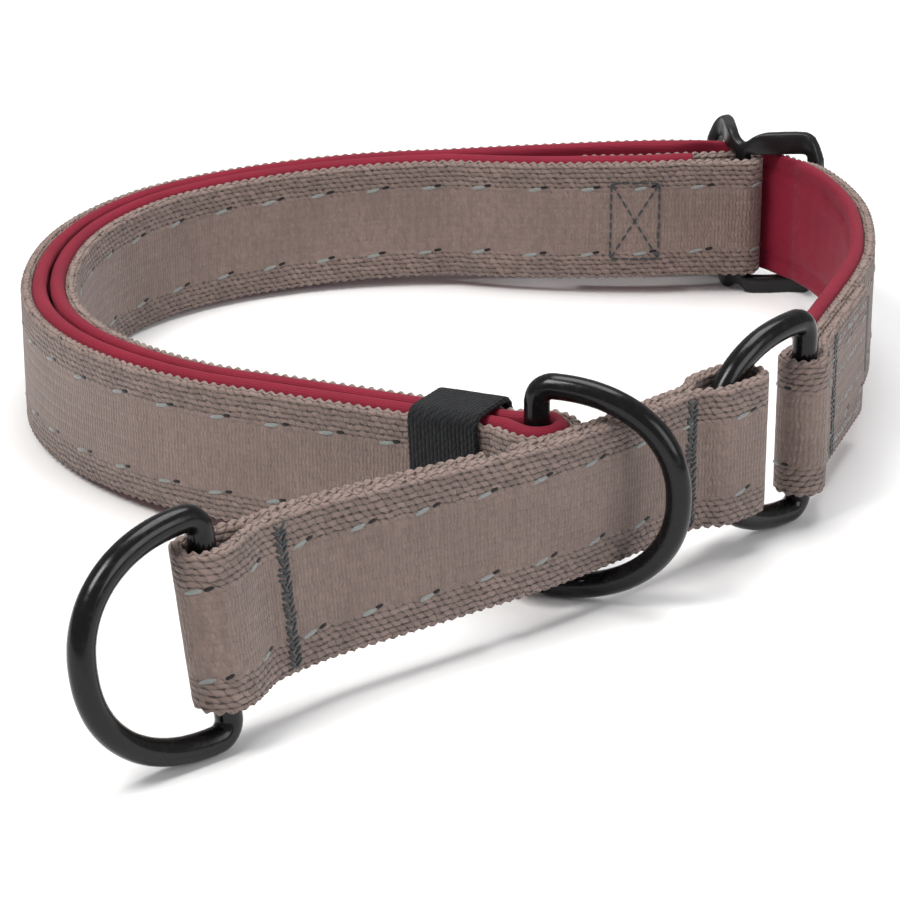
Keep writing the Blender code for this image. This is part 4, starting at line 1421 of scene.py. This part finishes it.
class COLLAR_OT_lining_stitches(bpy.types.Operator):
    """Put the red stitches on the lining, painted brighter than the lining as a highlight"""

    bl_idname = "collar.lining_stitches"
    bl_label = "Lining stitches"

    def execute(self, context):
        """Three short stitches near the lining's lower edge, at the right-hand bend."""
        line = stations(lining_line, LINING_STEP)
        near = min(line, key=lambda station: abs(station.at - LINING_STITCHES_AT))
        places = [on_face(near, up, LINING_THICK * 0.9, 1, 1.2) for up in (-9.4, -8.2, -7.0)]
        obj = copies("lining_stitches", grain(*LINING_STITCH, 6), places)
        # Partly painted highlight: the stitches are real red thread, and their colour is much
        # brighter than the lining's to stand in for light catching them.
        material = thread_material("red_thread_painted_highlight", (0.6, 0.02, 0.09), 0.5)
        dress(obj, material, "lining_burgundy", "collar")
        return {"FINISHED"}


class COLLAR_OT_label(bpy.types.Operator):
    """Fold the small blank label"""

    bl_idname = "collar.label"
    bl_label = "Label"

    def execute(self, context):
        """Sweep a short piece of cloth standing on the strap's outer face."""
        at = TAIL_LENGTH + LABEL_FROM_TAIL + LABEL_LENGTH / 2
        place, left = at_length(side_main, at)
        ahead = Vector((left.y, -left.x, 0))
        middle = place - left * (half_web + 0.45)
        line = []
        for k in range(17):
            along = LABEL_LENGTH * (k / 16 - 0.5)
            lift = 0.18 * math.sin(k * 0.9)
            point = middle + ahead * along - left * lift
            line.append(Station(point, left, Vector((0, 0, 1)), k * LABEL_LENGTH / 16))
        obj = sweep("label_cloth", line, strap_section(LABEL_HEIGHT, 0.7, 0.03, 0.8))
        material = label_material(context.scene.collar.label_colour)
        dress(obj, material, "label_dark", "collar", "end_label")
        return {"FINISHED"}


class COLLAR_OT_stage(bpy.types.Operator):
    """Set the floor, the lights and the camera"""

    bl_idname = "collar.stage"
    bl_label = "Stage"

    def execute(self, context):
        """A pale floor under soft studio light."""
        scene = context.scene
        deselect()
        bpy.ops.mesh.primitive_plane_add(size=6.0, location=(0, 0, -0.0002))
        floor = bpy.context.object
        floor.name = "floor"
        material, tree, shader = start_material("pale_floor", 0.9)
        shader.inputs["Base Color"].default_value = (0.9, 0.9, 0.9, 1.0)
        floor.data.materials.append(material)

        scene.world = bpy.data.worlds.new("studio")
        scene.world.use_nodes = True
        sky = scene.world.node_tree.nodes["Background"]
        sky.inputs[0].default_value = (1.0, 1.0, 1.0, 1.0)
        sky.inputs[1].default_value = 0.36
        for name, place, size, power, colour in (
            ("key", (-0.45, -0.35, 0.85), 0.4, 7.5, (1.0, 0.98, 0.96)),
            ("fill", (0.7, -0.5, 0.45), 0.5, 3.0, (0.97, 0.98, 1.0)),
            ("top", (0.1, 0.25, 1.0), 0.6, 6.5, (1.0, 1.0, 1.0)),
        ):
            data = bpy.data.lights.new(name, "AREA")
            data.size = size
            data.energy = power
            data.color = colour
            light = bpy.data.objects.new(name, data)
            light.location = place
            light.rotation_euler = (-Vector(place)).to_track_quat("-Z", "Y").to_euler()
            scene.collection.objects.link(light)

        data = bpy.data.cameras.new("camera")
        data.sensor_width = 36.0
        data.lens = 128.7
        data.clip_start = 0.01
        camera = bpy.data.objects.new("camera", data)
        pitch = math.radians(22)
        target = Vector((SHIFT.x * MM, SHIFT.y * MM, 0.0156))
        camera.location = target - Vector((0, math.cos(pitch), -math.sin(pitch))) * 0.547
        camera.rotation_euler = (math.pi / 2 - pitch, 0, 0)
        scene.collection.objects.link(camera)
        scene.camera = camera
        scene.view_settings.view_transform = "Standard"
        return {"FINISHED"}


STEPS = (
    COLLAR_OT_stage,
    COLLAR_OT_webbing,
    COLLAR_OT_lining,
    COLLAR_OT_control_strap,
    COLLAR_OT_rings,
    COLLAR_OT_slider,
    COLLAR_OT_keeper,
    COLLAR_OT_dashes,
    COLLAR_OT_bartacks,
    COLLAR_OT_box,
    COLLAR_OT_tail_threads,
    COLLAR_OT_lining_stitches,
    COLLAR_OT_label,
)


class COLLAR_PT_panel(bpy.types.Panel):
    """The collar's steps in the sidebar"""

    bl_idname = "COLLAR_PT_panel"
    bl_label = "Collar"
    bl_space_type = "VIEW_3D"
    bl_region_type = "UI"
    bl_category = "Collar"

    def draw(self, context):
        """List the settings and the steps."""
        for name in CollarSettings.__annotations__:
            self.layout.prop(context.scene.collar, name)
        for step in STEPS:
            self.layout.operator(step.bl_idname)


def register():
    """Add the classes and the settings."""
    for item in (CollarSettings, *STEPS, COLLAR_PT_panel):
        bpy.utils.register_class(item)
    bpy.types.Scene.collar = PointerProperty(type=CollarSettings)


def unregister():
    """Take them away again."""
    del bpy.types.Scene.collar
    for item in (COLLAR_PT_panel, *STEPS[::-1], CollarSettings):
        bpy.utils.unregister_class(item)


def main():
    """Build the collar."""
    register()
    bpy.ops.collar.stage()
    bpy.ops.collar.webbing()
    bpy.ops.collar.lining()
    bpy.ops.collar.control_strap()
    bpy.ops.collar.rings()
    bpy.ops.collar.slider()
    bpy.ops.collar.keeper()
    bpy.ops.collar.dashes()
    bpy.ops.collar.bartacks()
    bpy.ops.collar.box()
    bpy.ops.collar.tail_threads()
    bpy.ops.collar.lining_stitches()
    bpy.ops.collar.label()


if __name__ == "__main__":
    main()
